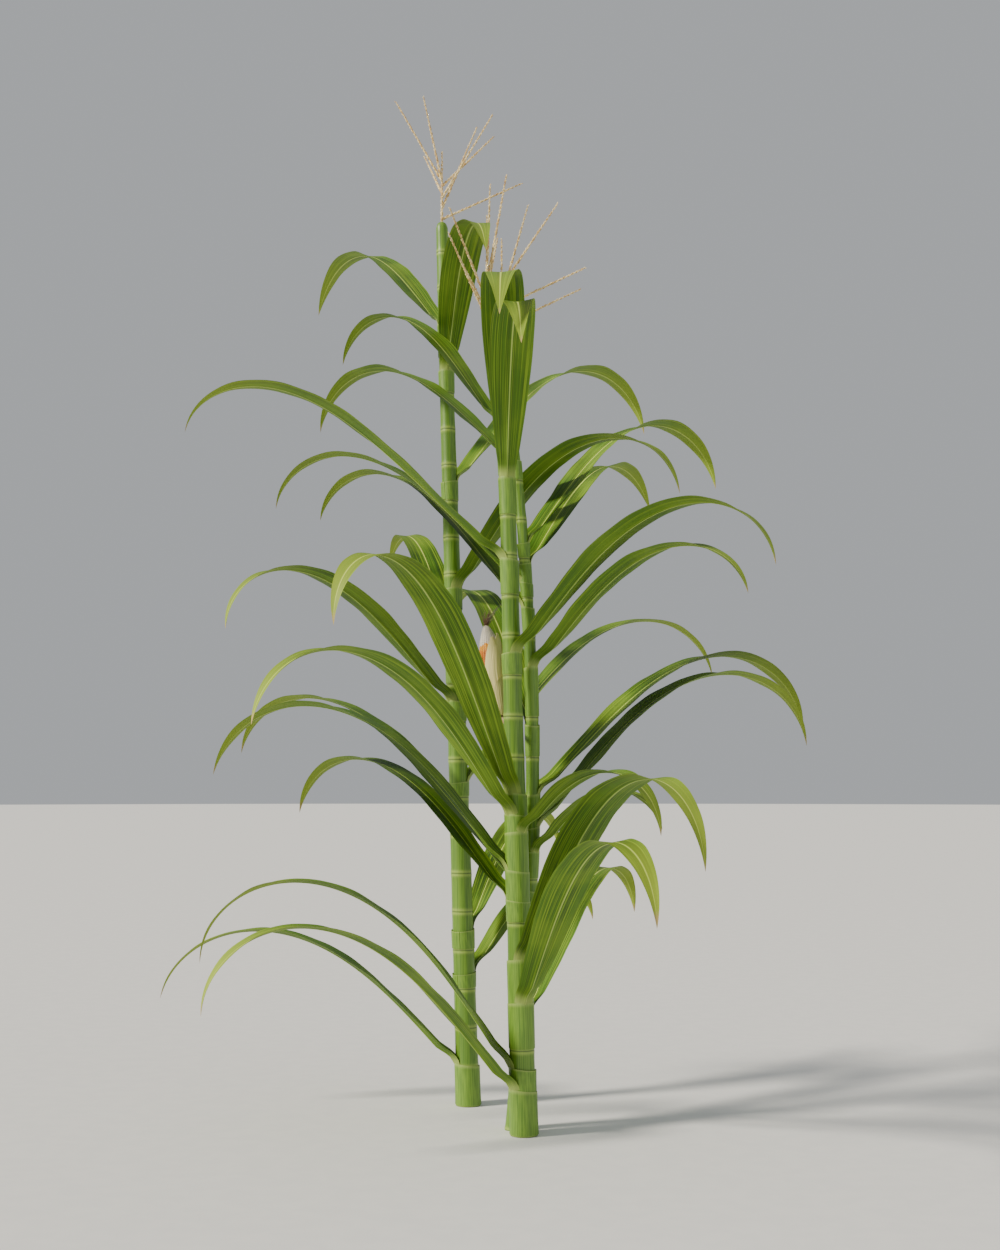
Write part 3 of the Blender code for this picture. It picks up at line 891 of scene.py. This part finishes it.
# %% Grow the blades
MOST_TWIST = 9               # degrees that a blade turns on its midrib by its tip, either way
WAVE_SEEDS = 90
CLASP_HOLD = 1.25            # how far round the cane a blade reaches, for its width
MOST_CLASP = 1.5             # and at most, in radians
dealt = random.Random(5)


def blade_half_width(leaf):
    """Half of a leaf's widest part."""
    return 0.5 * BLADE_WIDTH * math.sqrt(leaf.length / FULL_LENGTH)


for name, leaves in LEAVES.items():
    for number, leaf in enumerate(leaves, start=1):
        node = f"{name}_leaf_{number:02d}"
        half_width = blade_half_width(leaf)
        radius = cane_radius(name, leaf.height)
        mesh = grow(node + "_blade", BLADE_TREE, {
            "Collar": tuple(cane_centre(name, leaf.height)), "Cane Radius": radius,
            "Azimuth": math.radians(leaf.azimuth), "Length": leaf.length,
            "Rise": math.radians(leaf.rise), "Hang": math.radians(leaf.hang), "Curl": leaf.curl,
            "Half Width": half_width,
            "Twist": math.radians(dealt.uniform(-MOST_TWIST, MOST_TWIST)),
            "Clasp": min(MOST_CLASP, CLASP_HOLD * half_width * COLLAR_SHARE / radius),
            "Seed": dealt.uniform(0, WAVE_SEEDS), "Age": 1.0 - leaf.height / TOPS[name],
            "Material": BLADE_GREEN,
        })
        stood_for = [n for n in (node, node + "_tip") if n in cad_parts]
        place_piece(node + "_blade", mesh, stood_for)
print("so far", tally)

# %% [markdown]
# ## Sheaths
# Below its collar every leaf goes on as a sheath, a thin tube that wraps the cane down to the joint it
# grew from, with one edge lapped over the other at the back. The sheath is what really carries the leaf,
# so it is modelled, though from a distance it reads only as a seam and a lip. A small helper makes a thin
# shell from any rule that says where its outer and inner faces lie. The husk uses it again.

# %% Thin shells from a rule


def add_sheet(shell, columns, rows, spot):
    """Add a closed thin sheet to a mesh. spot(across, along, inner) places its two faces."""
    sheet_map = shell.loops.layers.uv.get("sheet_map") or shell.loops.layers.uv.new("sheet_map")
    outer_face = [(2.0 * column / columns - 1.0, False) for column in range(columns + 1)]
    places = outer_face + [(across, True) for across, inner in reversed(outer_face)]
    rings = []
    for row in range(rows + 1):
        along = row / rows
        rings.append([shell.verts.new(spot(across, along, inner)) for across, inner in places])
    count = len(places)
    faces = []
    for row in range(rows):
        for corner in range(count):
            following = (corner + 1) % count
            faces.append(((row, corner), (row, following), (row + 1, following), (row + 1, corner)))
    for row in (0, rows):
        for column in range(columns):
            back = count - 1 - column
            faces.append(((row, column), (row, column + 1), (row, back - 1), (row, back)))
    for square in faces:
        face = shell.faces.new([rings[row][corner] for row, corner in square])
        for loop, (row, corner) in zip(face.loops, square):
            loop[sheet_map].uv = (0.5 + 0.5 * places[corner][0], row / rows)


def shell_mesh(name, shell, material):
    """A plain mesh with one finish from a finished bmesh."""
    mesh = bpy.data.meshes.new(name)
    shell.to_mesh(mesh)
    shell.free()
    mesh.materials.append(material)
    return mesh


print("a sheet has two faces and a rim, so it is closed")

# %% Wrap the sheaths
SHEATH_COLUMNS = 40
SHEATH_ROWS = 10
SHEATH_LEAST = 0.035         # the shortest sheath
SHEATH_START = 0.004         # how far above its joint it starts
SHEATH_TUCK = 0.006          # how deep it is tucked into the one below
MOUTH_RISE = 0.003           # how far it rises past the collar
LIP_WAVE = 0.004             # how far its lip dips at the lap, which shows only near the mouth
LIP_POWER = 6
SHEATH_WALL = 0.0008
SHEATH_STAND = 0.0015        # how far it stands off the cane at its foot
SHEATH_EASE = 0.0013         # how much further off it stands at its mouth
LAP = 0.0009                 # how far the outer edge rides over the inner one
WRAP = 1.06 * math.pi        # half of the turn that a sheath makes


def sheath_spot(name, leaf, low, high):
    """The rule of one sheath: where each point of its two faces lies."""

    def spot(across, along, inner):
        height = low + (high - low) * along
        height += LIP_WAVE * along ** LIP_POWER * math.cos(across * math.pi)
        off = SHEATH_STAND + SHEATH_EASE * along + LAP * (0.5 + 0.5 * across)
        radius = cane_radius(name, height) + off - (SHEATH_WALL if inner else 0.0)
        turn = math.radians(leaf.azimuth) + across * WRAP
        return cane_centre(name, height) + radius * Vector((math.cos(turn), math.sin(turn), 0))

    return spot


for name, leaves in LEAVES.items():
    shell = bmesh.new()
    below = 0.0
    for leaf in sorted(leaves, key=lambda leaf: leaf.height):
        joint = INTERNODE * math.floor((leaf.height - SHEATH_LEAST) / INTERNODE)
        low = max(joint + SHEATH_START, below - SHEATH_TUCK)
        rule = sheath_spot(name, leaf, low, leaf.height + MOUTH_RISE)
        add_sheet(shell, SHEATH_COLUMNS, SHEATH_ROWS, rule)
        below = leaf.height
    piece = place_piece(name + "_sheaths", shell_mesh(name + "_sheaths", shell, SHEATH_GREEN))
    print(piece.name, len(leaves), "sheaths,", len(piece.data.polygons), "faces")

# %% [markdown]
# ## The ear
# The ear stands on a short shank beside the main cane. A cob is a spindle set with rows of kernels, deep
# orange below and pale where they shrink towards the tip. It could be one bumpy surface, but kernels cast
# shadows on each other, so each is a rounded block of 24 faces. A tree lays them out in rows on the
# spindle, turns each to face outwards, and keeps only the band that it is asked for, so the three tones
# of kernel are three pieces with a plain colour each.

# %% The ear's own directions and outline
EAR_FOOT = Vector((-0.052, 0.052, 0.985))
EAR_TIP = Vector((-0.092, 0.072, 1.210))
EAR_FULLEST = 0.52           # where along the ear it is thickest
EAR_FOOT_SHARE = 0.42        # thickness of its foot, as a share of the thickest
EAR_TIP_POWER = 0.6          # how bluntly it closes towards its tip
EAR_FACING = 150             # azimuth of the husk's open side, in degrees
COB_RADIUS = 0.0310

EAR_SPAN = EAR_TIP - EAR_FOOT
EAR_ALONG = EAR_SPAN.normalized()
facing = Vector((math.cos(math.radians(EAR_FACING)), math.sin(math.radians(EAR_FACING)), 0))
EAR_OUTWARD = (facing - EAR_ALONG * facing.dot(EAR_ALONG)).normalized()
EAR_ACROSS = EAR_ALONG.cross(EAR_OUTWARD)


def ear_swell(along):
    """Thickness of the ear at a share of its length, as a share of its thickest part."""
    if along < EAR_FULLEST:
        swell = math.sin(0.5 * math.pi * along / EAR_FULLEST)
        return EAR_FOOT_SHARE + (1.0 - EAR_FOOT_SHARE) * swell
    closing = math.cos(0.5 * math.pi * (min(along, 1.0) - EAR_FULLEST) / (1.0 - EAR_FULLEST))
    return max(closing, 0.0) ** EAR_TIP_POWER


def ear_spot(along, turn, radius):
    """A point round the ear's axis."""
    return (EAR_FOOT + EAR_SPAN * along
            + radius * (EAR_OUTWARD * math.cos(turn) + EAR_ACROSS * math.sin(turn)))


print("ear", round(EAR_SPAN.length, 3), "m long")

# %% Shank and core of the cob
CORE_SHARE = 0.82            # thickness of the cob's core, as a share of the ear
CORE_SIDES = 20
CORE_STEPS = 18
CORE_END = 0.99
SHANK_HEIGHT = 0.955         # where the shank leaves the cane
SHANK_RADIUS = 0.0065
SHANK_SINK = 0.002           # how deep it is rooted in the cane
SHANK_STEPS = 7
SHANK_ENDS = 1.15            # thickness at both its ends, in shank radii
SHANK_WAIST = 0.3            # how much thinner it is between them


def turned_mesh(name, centres, radii, sides, material):
    """A round, capped body through these centres, square to its own run."""
    shell = bmesh.new()
    rings = []
    for index, (centre, radius) in enumerate(zip(centres, radii)):
        ahead = centres[min(index + 1, len(centres) - 1)] - centres[max(index - 1, 0)]
        first = EAR_OUTWARD - ahead * EAR_OUTWARD.dot(ahead) / ahead.length_squared
        first.normalize()
        second = ahead.normalized().cross(first)
        turns = [2.0 * math.pi * side / sides for side in range(sides)]
        spokes = [first * math.cos(turn) + second * math.sin(turn) for turn in turns]
        rings.append([shell.verts.new(centre + radius * spoke) for spoke in spokes])
    for lower, upper in zip(rings, rings[1:]):
        for side in range(sides):
            following = (side + 1) % sides
            shell.faces.new((lower[side], lower[following], upper[following], upper[side]))
    shell.faces.new(rings[0])
    shell.faces.new(rings[-1])
    return shell_mesh(name, shell, material)


shank_start = cane_centre("main", SHANK_HEIGHT)
outward = Vector((EAR_FOOT.x - shank_start.x, EAR_FOOT.y - shank_start.y, 0)).normalized()
shank_start = shank_start + outward * (cane_radius("main", SHANK_HEIGHT) - SHANK_SINK)
bend = shank_start.lerp(EAR_FOOT, 0.5) - UP * SHANK_RADIUS
centres = []
radii = []
for step in range(SHANK_STEPS):
    share = step / SHANK_STEPS
    start_pull, bend_pull = (1 - share) ** 2, 2 * share * (1 - share)
    centres.append(shank_start * start_pull + bend * bend_pull + EAR_FOOT * share ** 2)
    radii.append(SHANK_RADIUS * (SHANK_ENDS - SHANK_WAIST * math.sin(math.pi * share)))
for step in range(CORE_STEPS + 1):
    share = CORE_END * step / CORE_STEPS
    centres.append(EAR_FOOT + EAR_SPAN * share)
    radii.append(COB_RADIUS * CORE_SHARE * ear_swell(share))
core_mesh = turned_mesh("ear_core", centres, radii, CORE_SIDES, COB_BROWN)
core = place_piece("ear_core", core_mesh)
print(core.name, len(core.data.polygons), "faces")

# %% The tree of the kernels
KERNEL_ROWS = 22
KERNEL_RANKS = 40
KERNEL_DEPTH = 0.0075
LEAST_DEPTH = 0.35           # depth of the smallest kernel, as a share of the deepest
STAGGER = 0.8                # how far every other row is shifted, in kernels
FIRST_KERNEL = 0.01          # the kernels' share of the ear
KERNEL_SPAN = 0.955
WINDING = 0.35               # radians that a row winds round the ear
WIDTH_FILL = 0.99            # how much of its own space a kernel fills
LENGTH_FILL = 1.03
BLOCK_ROUNDING = 0.62        # how far a kernel's block is drawn to a ball, and the ball's size
BLOCK_BALL = 0.56
KERNEL_LEAST = 0.93          # spread of the kernels' sizes
KERNEL_MOST = 1.05
FRINGE = 0.014               # how far the tones stray over their border
KERNEL_FACES = 24


def kernel_tree():
    """Rows of rounded blocks on the cob, for one band of its length."""
    tree, bench, given = start_tree("kernels", {
        "Foot": "vector", "Span": "vector", "Outward": "vector", "Across": "vector", "Radius": "number",
        "Band Low": "number", "Band High": "number", "Seed": "count", "Fringe Seed": "count",
        "Material": "material"})
    grid = bench.node("GeometryNodeMeshGrid", None, {
        "Size X": 1.0, "Size Y": 1.0, "Vertices X": KERNEL_ROWS, "Vertices Y": KERNEL_RANKS})
    here = bench.node("GeometryNodeInputPosition")
    row_there = (bench.part(here, "X") + 0.5) * (KERNEL_ROWS - 1.0)
    shift = (row_there * 0.5).math("FRACT") * (STAGGER / KERNEL_RANKS)
    along_there = (bench.part(here, "Y") + 0.5) * KERNEL_SPAN + shift + FIRST_KERNEL
    grid = bench.noted(grid, "kernel_row", row_there)
    grid = bench.noted(grid, "kernel_along", along_there)
    row = bench.read("kernel_row")
    along = bench.read("kernel_along")
    turn = row * (2.0 * math.pi / KERNEL_ROWS) + along * WINDING
    rising = (along / EAR_FULLEST).math("MINIMUM", 1.0) * (0.5 * math.pi)
    closing = ((along - EAR_FULLEST) / (1.0 - EAR_FULLEST)).math("MAXIMUM", 0.0) * (0.5 * math.pi)
    closing = closing.math("COSINE").math("MAXIMUM", 0.0) ** EAR_TIP_POWER
    swell = (EAR_FOOT_SHARE + (1.0 - EAR_FOOT_SHARE) * rising.math("SINE")) * closing
    spoke = given["Outward"] * turn.math("COSINE") + given["Across"] * turn.math("SINE")
    depth = KERNEL_DEPTH * (LEAST_DEPTH + (1.0 - LEAST_DEPTH) * swell)
    spot = given["Foot"] + given["Span"] * along + spoke * (given["Radius"] * swell - depth * 0.5)
    points = bench.moved(grid, spot)
    facing_out = bench.node("FunctionNodeAxesToRotation", {"primary_axis": "Z", "secondary_axis": "Y"}, {
        "Primary Axis": spoke, "Secondary Axis": given["Span"]})

    block = bench.node("GeometryNodeMeshCube", None, {"Vertices X": 3, "Vertices Y": 3, "Vertices Z": 3})
    corner = bench.node("GeometryNodeInputPosition")
    block = bench.moved(block, bench.meet(BLOCK_ROUNDING, corner, corner.arrow("NORMALIZE") * BLOCK_BALL))

    wobble = bench.draw(KERNEL_LEAST, KERNEL_MOST, given["Seed"])
    width = given["Radius"] * swell * (2.0 * math.pi / KERNEL_ROWS) * WIDTH_FILL
    length = given["Span"].arrow("LENGTH").also("Value") * (LENGTH_FILL / KERNEL_RANKS)
    size = bench.xyz(width, length, depth) * wobble
    level = along + bench.draw(-FRINGE, FRINGE, given["Fringe Seed"])
    wanted = level.math("GREATER_THAN", given["Band Low"])
    wanted = wanted * level.math("LESS_THAN", given["Band High"])
    kernels = bench.node("GeometryNodeInstanceOnPoints", None, {
        "Points": points, "Selection": wanted, "Instance": block, "Rotation": facing_out, "Scale": size})
    close_tree(bench, kernels, given["Material"])
    return tree


KERNEL_TREE = kernel_tree()
print(KERNEL_ROWS, "rows of", KERNEL_RANKS, "kernels")

# %% Set the kernels
KERNEL_SEED = 11
FRINGE_SEED = 3
Band = namedtuple("Band", "low high finish node")
BANDS = {
    "ear_kernels_orange": Band(-1.0, 0.72, KERNEL_ORANGE, ["ear_cob"]),
    "ear_kernels_gold": Band(0.72, 0.77, KERNEL_GOLD, []),
    "ear_kernels_pale": Band(0.77, 2.0, KERNEL_PALE, []),
}
for piece_name, band in BANDS.items():
    mesh = grow(piece_name, KERNEL_TREE, {
        "Foot": tuple(EAR_FOOT), "Span": tuple(EAR_SPAN), "Outward": tuple(EAR_OUTWARD),
        "Across": tuple(EAR_ACROSS), "Radius": COB_RADIUS, "Band Low": band.low,
        "Band High": band.high, "Seed": KERNEL_SEED, "Fringe Seed": FRINGE_SEED,
        "Material": band.finish,
    })
    place_piece(piece_name, mesh, band.node)
    print(piece_name, len(mesh.polygons) // KERNEL_FACES, "kernels")

# %% [markdown]
# The husk is several papery leaves, lapped round the far side of the cob and open on one side. Each is a
# thin shell again, widest low down, ribbed, and drawn in to a point that bends a little away.

# %% Wrap the husk
HUSK_RADIUS = 0.0322         # the innermost husk leaf's distance from the ear's axis
HUSK_LEAF_WALL = 0.0007
HUSK_COLUMNS = 54
HUSK_ROWS = 26
HUSK_RIBS = 9
HUSK_RIB = 0.00022           # how far a rib stands out, fading as the cube of the way up
HUSK_REACH = 0.94            # how much of the ear's outline a full-height leaf follows
HUSK_LEAST = 0.30            # least bulge, as a share of the fullest
NARROW_FROM = 0.50           # where a leaf starts to narrow to its point
POINT_CURVE = 1.4            # how the point is drawn in
POINT_POWER = 0.75
POINT_SHARE = 0.10           # width left at the very tip
LIFT_FROM = 0.75             # from here up the leaf bends away
LIFT = 0.006
HuskLeaf = namedtuple("HuskLeaf", "middle half_span height stand")
HUSK_LEAVES = [
    HuskLeaf(240, 58, 0.84, 0.0000), HuskLeaf(137, 62, 0.84, 0.0008),
    HuskLeaf(176, 66, 0.88, 0.0018), HuskLeaf(208, 56, 0.80, 0.0028),
    HuskLeaf(150, 60, 0.40, 0.0037),
]


def husk_spot(leaf):
    """The rule of one husk leaf."""

    def spot(across, along, inner):
        share = leaf.height * along
        into_point = max(0.0, (along - NARROW_FROM) / (1.0 - NARROW_FROM))
        narrowing = max(0.0, 1.0 - into_point ** POINT_CURVE) ** POINT_POWER
        turn = math.radians(leaf.middle + leaf.half_span * across * max(narrowing, POINT_SHARE))
        bulge = max(ear_swell(share * HUSK_REACH), HUSK_LEAST)
        rib = HUSK_RIB * math.cos(across * math.pi * HUSK_RIBS) * (1.0 - along ** 3)
        lifting = LIFT * (max(0.0, along - LIFT_FROM) / (1.0 - LIFT_FROM)) ** 2
        radius = (HUSK_RADIUS + leaf.stand) * bulge + rib + lifting
        return ear_spot(share, turn, radius - (HUSK_LEAF_WALL if inner else 0.0))

    return spot


shell = bmesh.new()
for leaf in HUSK_LEAVES:
    add_sheet(shell, HUSK_COLUMNS, HUSK_ROWS, husk_spot(leaf))
husk_mesh = shell_mesh("ear_husk_leaves", shell, HUSK_CREAM)
husk = place_piece("ear_husk_leaves", husk_mesh, ["ear_husk"])
print(husk.name, len(HUSK_LEAVES), "leaves,", len(husk.data.polygons), "faces")

# %% [markdown]
# ## Tassels and silks
# A tassel is a stiff axis with stiff side branches, and each is packed with small scaly flowers. The
# stalks are bare lines in Python, and a tree does the rest: it sweeps each line to a thin stalk, spaces
# points along it, and sets one flower on each, turned by the golden angle so that they wind round it.
# Pale and deep flowers are dealt out at random from a fixed seed, in two pieces for each tassel.

# %% The growing rules of a tassel
Branch = namedtuple("Branch", "start azimuth lean length")
Tassel = namedtuple("Tassel", "length branches")

TASSELS = {
    "main": Tassel(0.28, [
        Branch(0.015, 232, 40, 0.23), Branch(0.035, 250, 68, 0.20), Branch(0.060, 240, 44, 0.25),
        Branch(0.085, 75, 30, 0.20), Branch(0.105, 15, 10, 0.29), Branch(0.120, 285, 8, 0.23),
    ]),
    "side": Tassel(0.24, [
        Branch(0.015, 10, 62, 0.23), Branch(0.030, 95, 60, 0.20), Branch(0.065, 345, 69, 0.23),
        Branch(0.090, 340, 17, 0.24), Branch(0.120, 20, 33, 0.28),
    ]),
    "rear": Tassel(0.20, [
        Branch(0.010, 0, 65, 0.24), Branch(0.040, 15, 22, 0.26), Branch(0.070, 345, 33, 0.26),
        Branch(0.084, 108, 46, 0.26), Branch(0.104, 35, 43, 0.25), Branch(0.115, 200, 13, 0.24),
        Branch(0.118, 170, 29, 0.27),
    ]),
}
STALK_POINTS = 9
print(sum(len(tassel.branches) for tassel in TASSELS.values()), "branches on", len(TASSELS), "tassels")

# %% Lay out bare lines


def heading(azimuth, lean):
    """Direction at an azimuth from +X and a lean from upright, both in degrees."""
    turn = math.radians(azimuth)
    tilt = math.radians(lean)
    return Vector((math.sin(tilt) * math.cos(turn), math.sin(tilt) * math.sin(turn), math.cos(tilt)))


def lines_mesh(name, lines):
    """Lists of points as one mesh of bare edges, each list a line of its own."""
    points = []
    edges = []
    for line in lines:
        first = len(points)
        points += line
        edges += [(first + step, first + step + 1) for step in range(len(line) - 1)]
    mesh = bpy.data.meshes.new(name)
    mesh.from_pydata(points, edges, [])
    return mesh


def tassel_lines(name, tassel):
    """The axis and the branches of a tassel as bare lines."""
    foot = cane_centre(name, TOPS[name])
    runs = [(foot, UP * tassel.length)]
    for branch in tassel.branches:
        runs.append((foot + UP * branch.start, heading(branch.azimuth, branch.lean) * branch.length))
    shares = [step / (STALK_POINTS - 1) for step in range(STALK_POINTS)]
    lines = [[root + run * share for share in shares] for root, run in runs]
    return lines_mesh(name + "_tassel_lines", lines)


print("a tassel's line has", STALK_POINTS, "points")

# %% Trees for stalks and flowers
STALK_SIDES = 7
STALK_TAPER = 0.72           # share of its thickness that a stalk loses by its tip
GOLDEN_ANGLE = 137.5         # degrees from one flower to the next
FLOWER_SEGMENTS = 6
FLOWER_RINGS = 4
FLOWER_FACES = FLOWER_SEGMENTS * FLOWER_RINGS
FLOWER_FLATNESS = 0.8        # a flower's depth, as a share of its girth
FLOWER_OUT = 0.9             # how far out of the stalk it sits, in stalk radii
FLOWER_UP = 0.35             # how far up from its root its middle lies, in lengths
FLOWER_LEAN = 11             # degrees that it leans out
FLOWER_LEAST = 0.85          # spread of the flowers' sizes
FLOWER_MOST = 1.15
FLOWER_TAPER = 0.38          # how much smaller they are at a stalk's tip


def stalk_tree():
    """Thin tapering stalks along bare lines."""
    tree, bench, given = start_tree("stalks", {
        "Lines": "shape", "Radius": "number", "Material": "material"})
    curves = bench.node("GeometryNodeMeshToCurve", None, {"Mesh": given["Lines"]})
    ring = bench.node("GeometryNodeCurvePrimitiveCircle", None, {
        "Resolution": STALK_SIDES, "Radius": 1.0})
    along = bench.node("GeometryNodeSplineParameter", None, None, "Factor")
    stalks = bench.node("GeometryNodeCurveToMesh", None, {
        "Curve": curves, "Profile Curve": ring,
        "Scale": given["Radius"] * (1.0 - along * STALK_TAPER), "Fill Caps": True})
    close_tree(bench, stalks, given["Material"])
    return tree


def flower_tree():
    """Scaly flowers wound round bare lines, of which each piece keeps one share."""
    tree, bench, given = start_tree("flowers", {
        "Lines": "shape", "Step": "number", "Length": "number", "Girth": "number", "Stalk": "number",
        "Share Low": "number", "Share High": "number", "Seed": "count", "Share Seed": "count",
        "Material": "material"})
    curves = bench.node("GeometryNodeMeshToCurve", None, {"Mesh": given["Lines"]})
    along_line = bench.node("GeometryNodeSplineParameter", None, None, "Factor")
    curves = bench.noted(curves, "along_stalk", along_line)
    points = bench.node("GeometryNodeCurveToPoints", {"mode": "LENGTH"}, {
        "Curve": curves, "Length": given["Step"]})
    along = bench.read("along_stalk")
    index = bench.node("GeometryNodeInputIndex")
    lean_to = bench.node("FunctionNodeAlignRotationToVector", {"axis": "Z"}, {
        "Vector": points.also("Tangent")})
    wind = bench.node("FunctionNodeAxisAngleToRotation", None, {
        "Axis": (0.0, 0.0, 1.0), "Angle": index * math.radians(GOLDEN_ANGLE)})
    turned = bench.node("FunctionNodeRotateRotation", {"rotation_space": "LOCAL"}, {
        "Rotation": lean_to, "Rotate By": wind})

    ball = bench.node("GeometryNodeMeshUVSphere", None, {
        "Segments": FLOWER_SEGMENTS, "Rings": FLOWER_RINGS, "Radius": 0.5})
    scale = bench.xyz(given["Girth"] * FLOWER_FLATNESS, given["Girth"], given["Length"])
    offset = bench.xyz(given["Stalk"] * FLOWER_OUT, 0.0, given["Length"] * FLOWER_UP)
    flower = bench.node("GeometryNodeTransform", None, {
        "Geometry": ball, "Translation": offset, "Rotation": (0.0, math.radians(FLOWER_LEAN), 0.0),
        "Scale": scale})
    wobble = bench.draw(FLOWER_LEAST, FLOWER_MOST, given["Seed"])
    dealt_out = bench.draw(0.0, 1.0, given["Share Seed"])
    wanted = dealt_out.math("GREATER_THAN", given["Share Low"])
    wanted = wanted * dealt_out.math("LESS_THAN", given["Share High"])
    flowers = bench.node("GeometryNodeInstanceOnPoints", None, {
        "Points": points, "Selection": wanted, "Instance": flower, "Rotation": turned,
        "Scale": wobble * (1.0 - along * FLOWER_TAPER)})
    close_tree(bench, flowers, given["Material"])
    return tree


STALK_TREE = stalk_tree()
FLOWER_TREE = flower_tree()
print("a flower has", FLOWER_FACES, "faces")

# %% Grow the tassels
STALK_RADIUS = 0.0026
FLOWER_STEP = 0.0027         # from one flower's root to the next
FLOWER_LENGTH = 0.0098
FLOWER_GIRTH = 0.0043
FLOWER_SEED = 17
SHARE_SEED = 29
Tone = namedtuple("Tone", "low high finish")
TONES = {"pale": Tone(-1.0, 0.62, STRAW_PALE), "deep": Tone(0.62, 2.0, STRAW_DEEP)}
for name, tassel in TASSELS.items():
    mesh = grow(name + "_tassel_stalks", STALK_TREE, {
        "Radius": STALK_RADIUS, "Material": STALK_TAN}, tassel_lines(name, tassel))
    place_piece(name + "_tassel_stalks", mesh, [name + "_tassel"])
    for label, tone in TONES.items():
        piece_name = f"{name}_tassel_flowers_{label}"
        mesh = grow(piece_name, FLOWER_TREE, {
            "Step": FLOWER_STEP, "Length": FLOWER_LENGTH, "Girth": FLOWER_GIRTH,
            "Stalk": STALK_RADIUS, "Share Low": tone.low, "Share High": tone.high,
            "Seed": FLOWER_SEED, "Share Seed": SHARE_SEED, "Material": tone.finish,
        }, tassel_lines(name, tassel))
        place_piece(piece_name, mesh)
        print(piece_name, len(mesh.polygons) // FLOWER_FACES, "flowers")

# %% [markdown]
# Silks are the long threads that each kernel sends out to catch pollen. Withered, they stand from the tip
# of the ear as a dark wisp. Each is one thin tapering line, swept by the same tree as the stalks.

# %% Grow the silks
SILKS = 60
SILK_POINTS = 8
SILK_RADIUS = 0.00065
SILK_LENGTHS = (0.025, 0.075)
SILK_OUT = (-0.2, 0.75)      # how far a silk spreads in each direction, in lengths
SILK_ASIDE = (-0.5, 0.5)
SILK_ROOTS = (0.93, 0.99)    # where it leaves the ear, and how far from its axis
SILK_ROOT_RADII = (0.001, 0.004)
SILK_DROOPS = (0.0, 0.45)    # how far it droops, in lengths
SILK_SWAY = 0.0015
SILK_SWAY_PACE = 6.0
SILK_CURVE = 1.5


def silk_line(silk):
    """One bare line that leaves the ear's tip, fans out and droops a little."""
    length = dealt.uniform(*SILK_LENGTHS)
    spread = Vector((dealt.uniform(*SILK_OUT), dealt.uniform(*SILK_ASIDE), 0.0))
    root = ear_spot(dealt.uniform(*SILK_ROOTS), dealt.uniform(0, 2 * math.pi),
                    dealt.uniform(*SILK_ROOT_RADII))
    droop = dealt.uniform(*SILK_DROOPS)
    line = []
    for step in range(SILK_POINTS):
        share = step / (SILK_POINTS - 1)
        sway = SILK_SWAY * math.sin(SILK_SWAY_PACE * share + silk)
        fan = spread * share ** SILK_CURVE - UP * droop * share ** 2
        line.append(root + (EAR_ALONG * share + fan) * length + EAR_ACROSS * sway)
    return line


silk_lines = lines_mesh("silk_lines", [silk_line(silk) for silk in range(SILKS)])
mesh = grow("ear_silks", STALK_TREE, {"Radius": SILK_RADIUS, "Material": SILK_BROWN}, silk_lines)
place_piece("ear_silks", mesh)
print("ear_silks", SILKS, "threads", tally)

# %% [markdown]
# ## The floor
# One wide pale disc. A plane would do as well near the plant, but a disc has the same horizon from
# every side.

# %% Lay the floor
FLOOR_RADIUS = 60.0
FLOOR_SIDES = 96
disc = bmesh.new()
bmesh.ops.create_circle(disc, cap_ends=True, segments=FLOOR_SIDES, radius=FLOOR_RADIUS)
floor_mesh = bpy.data.meshes.new("floor")
disc.to_mesh(floor_mesh)
disc.free()
floor_mesh.materials.append(FLOOR_PALE)
floor = bpy.data.objects.new("floor", floor_mesh)
bpy.context.scene.collection.objects.link(floor)
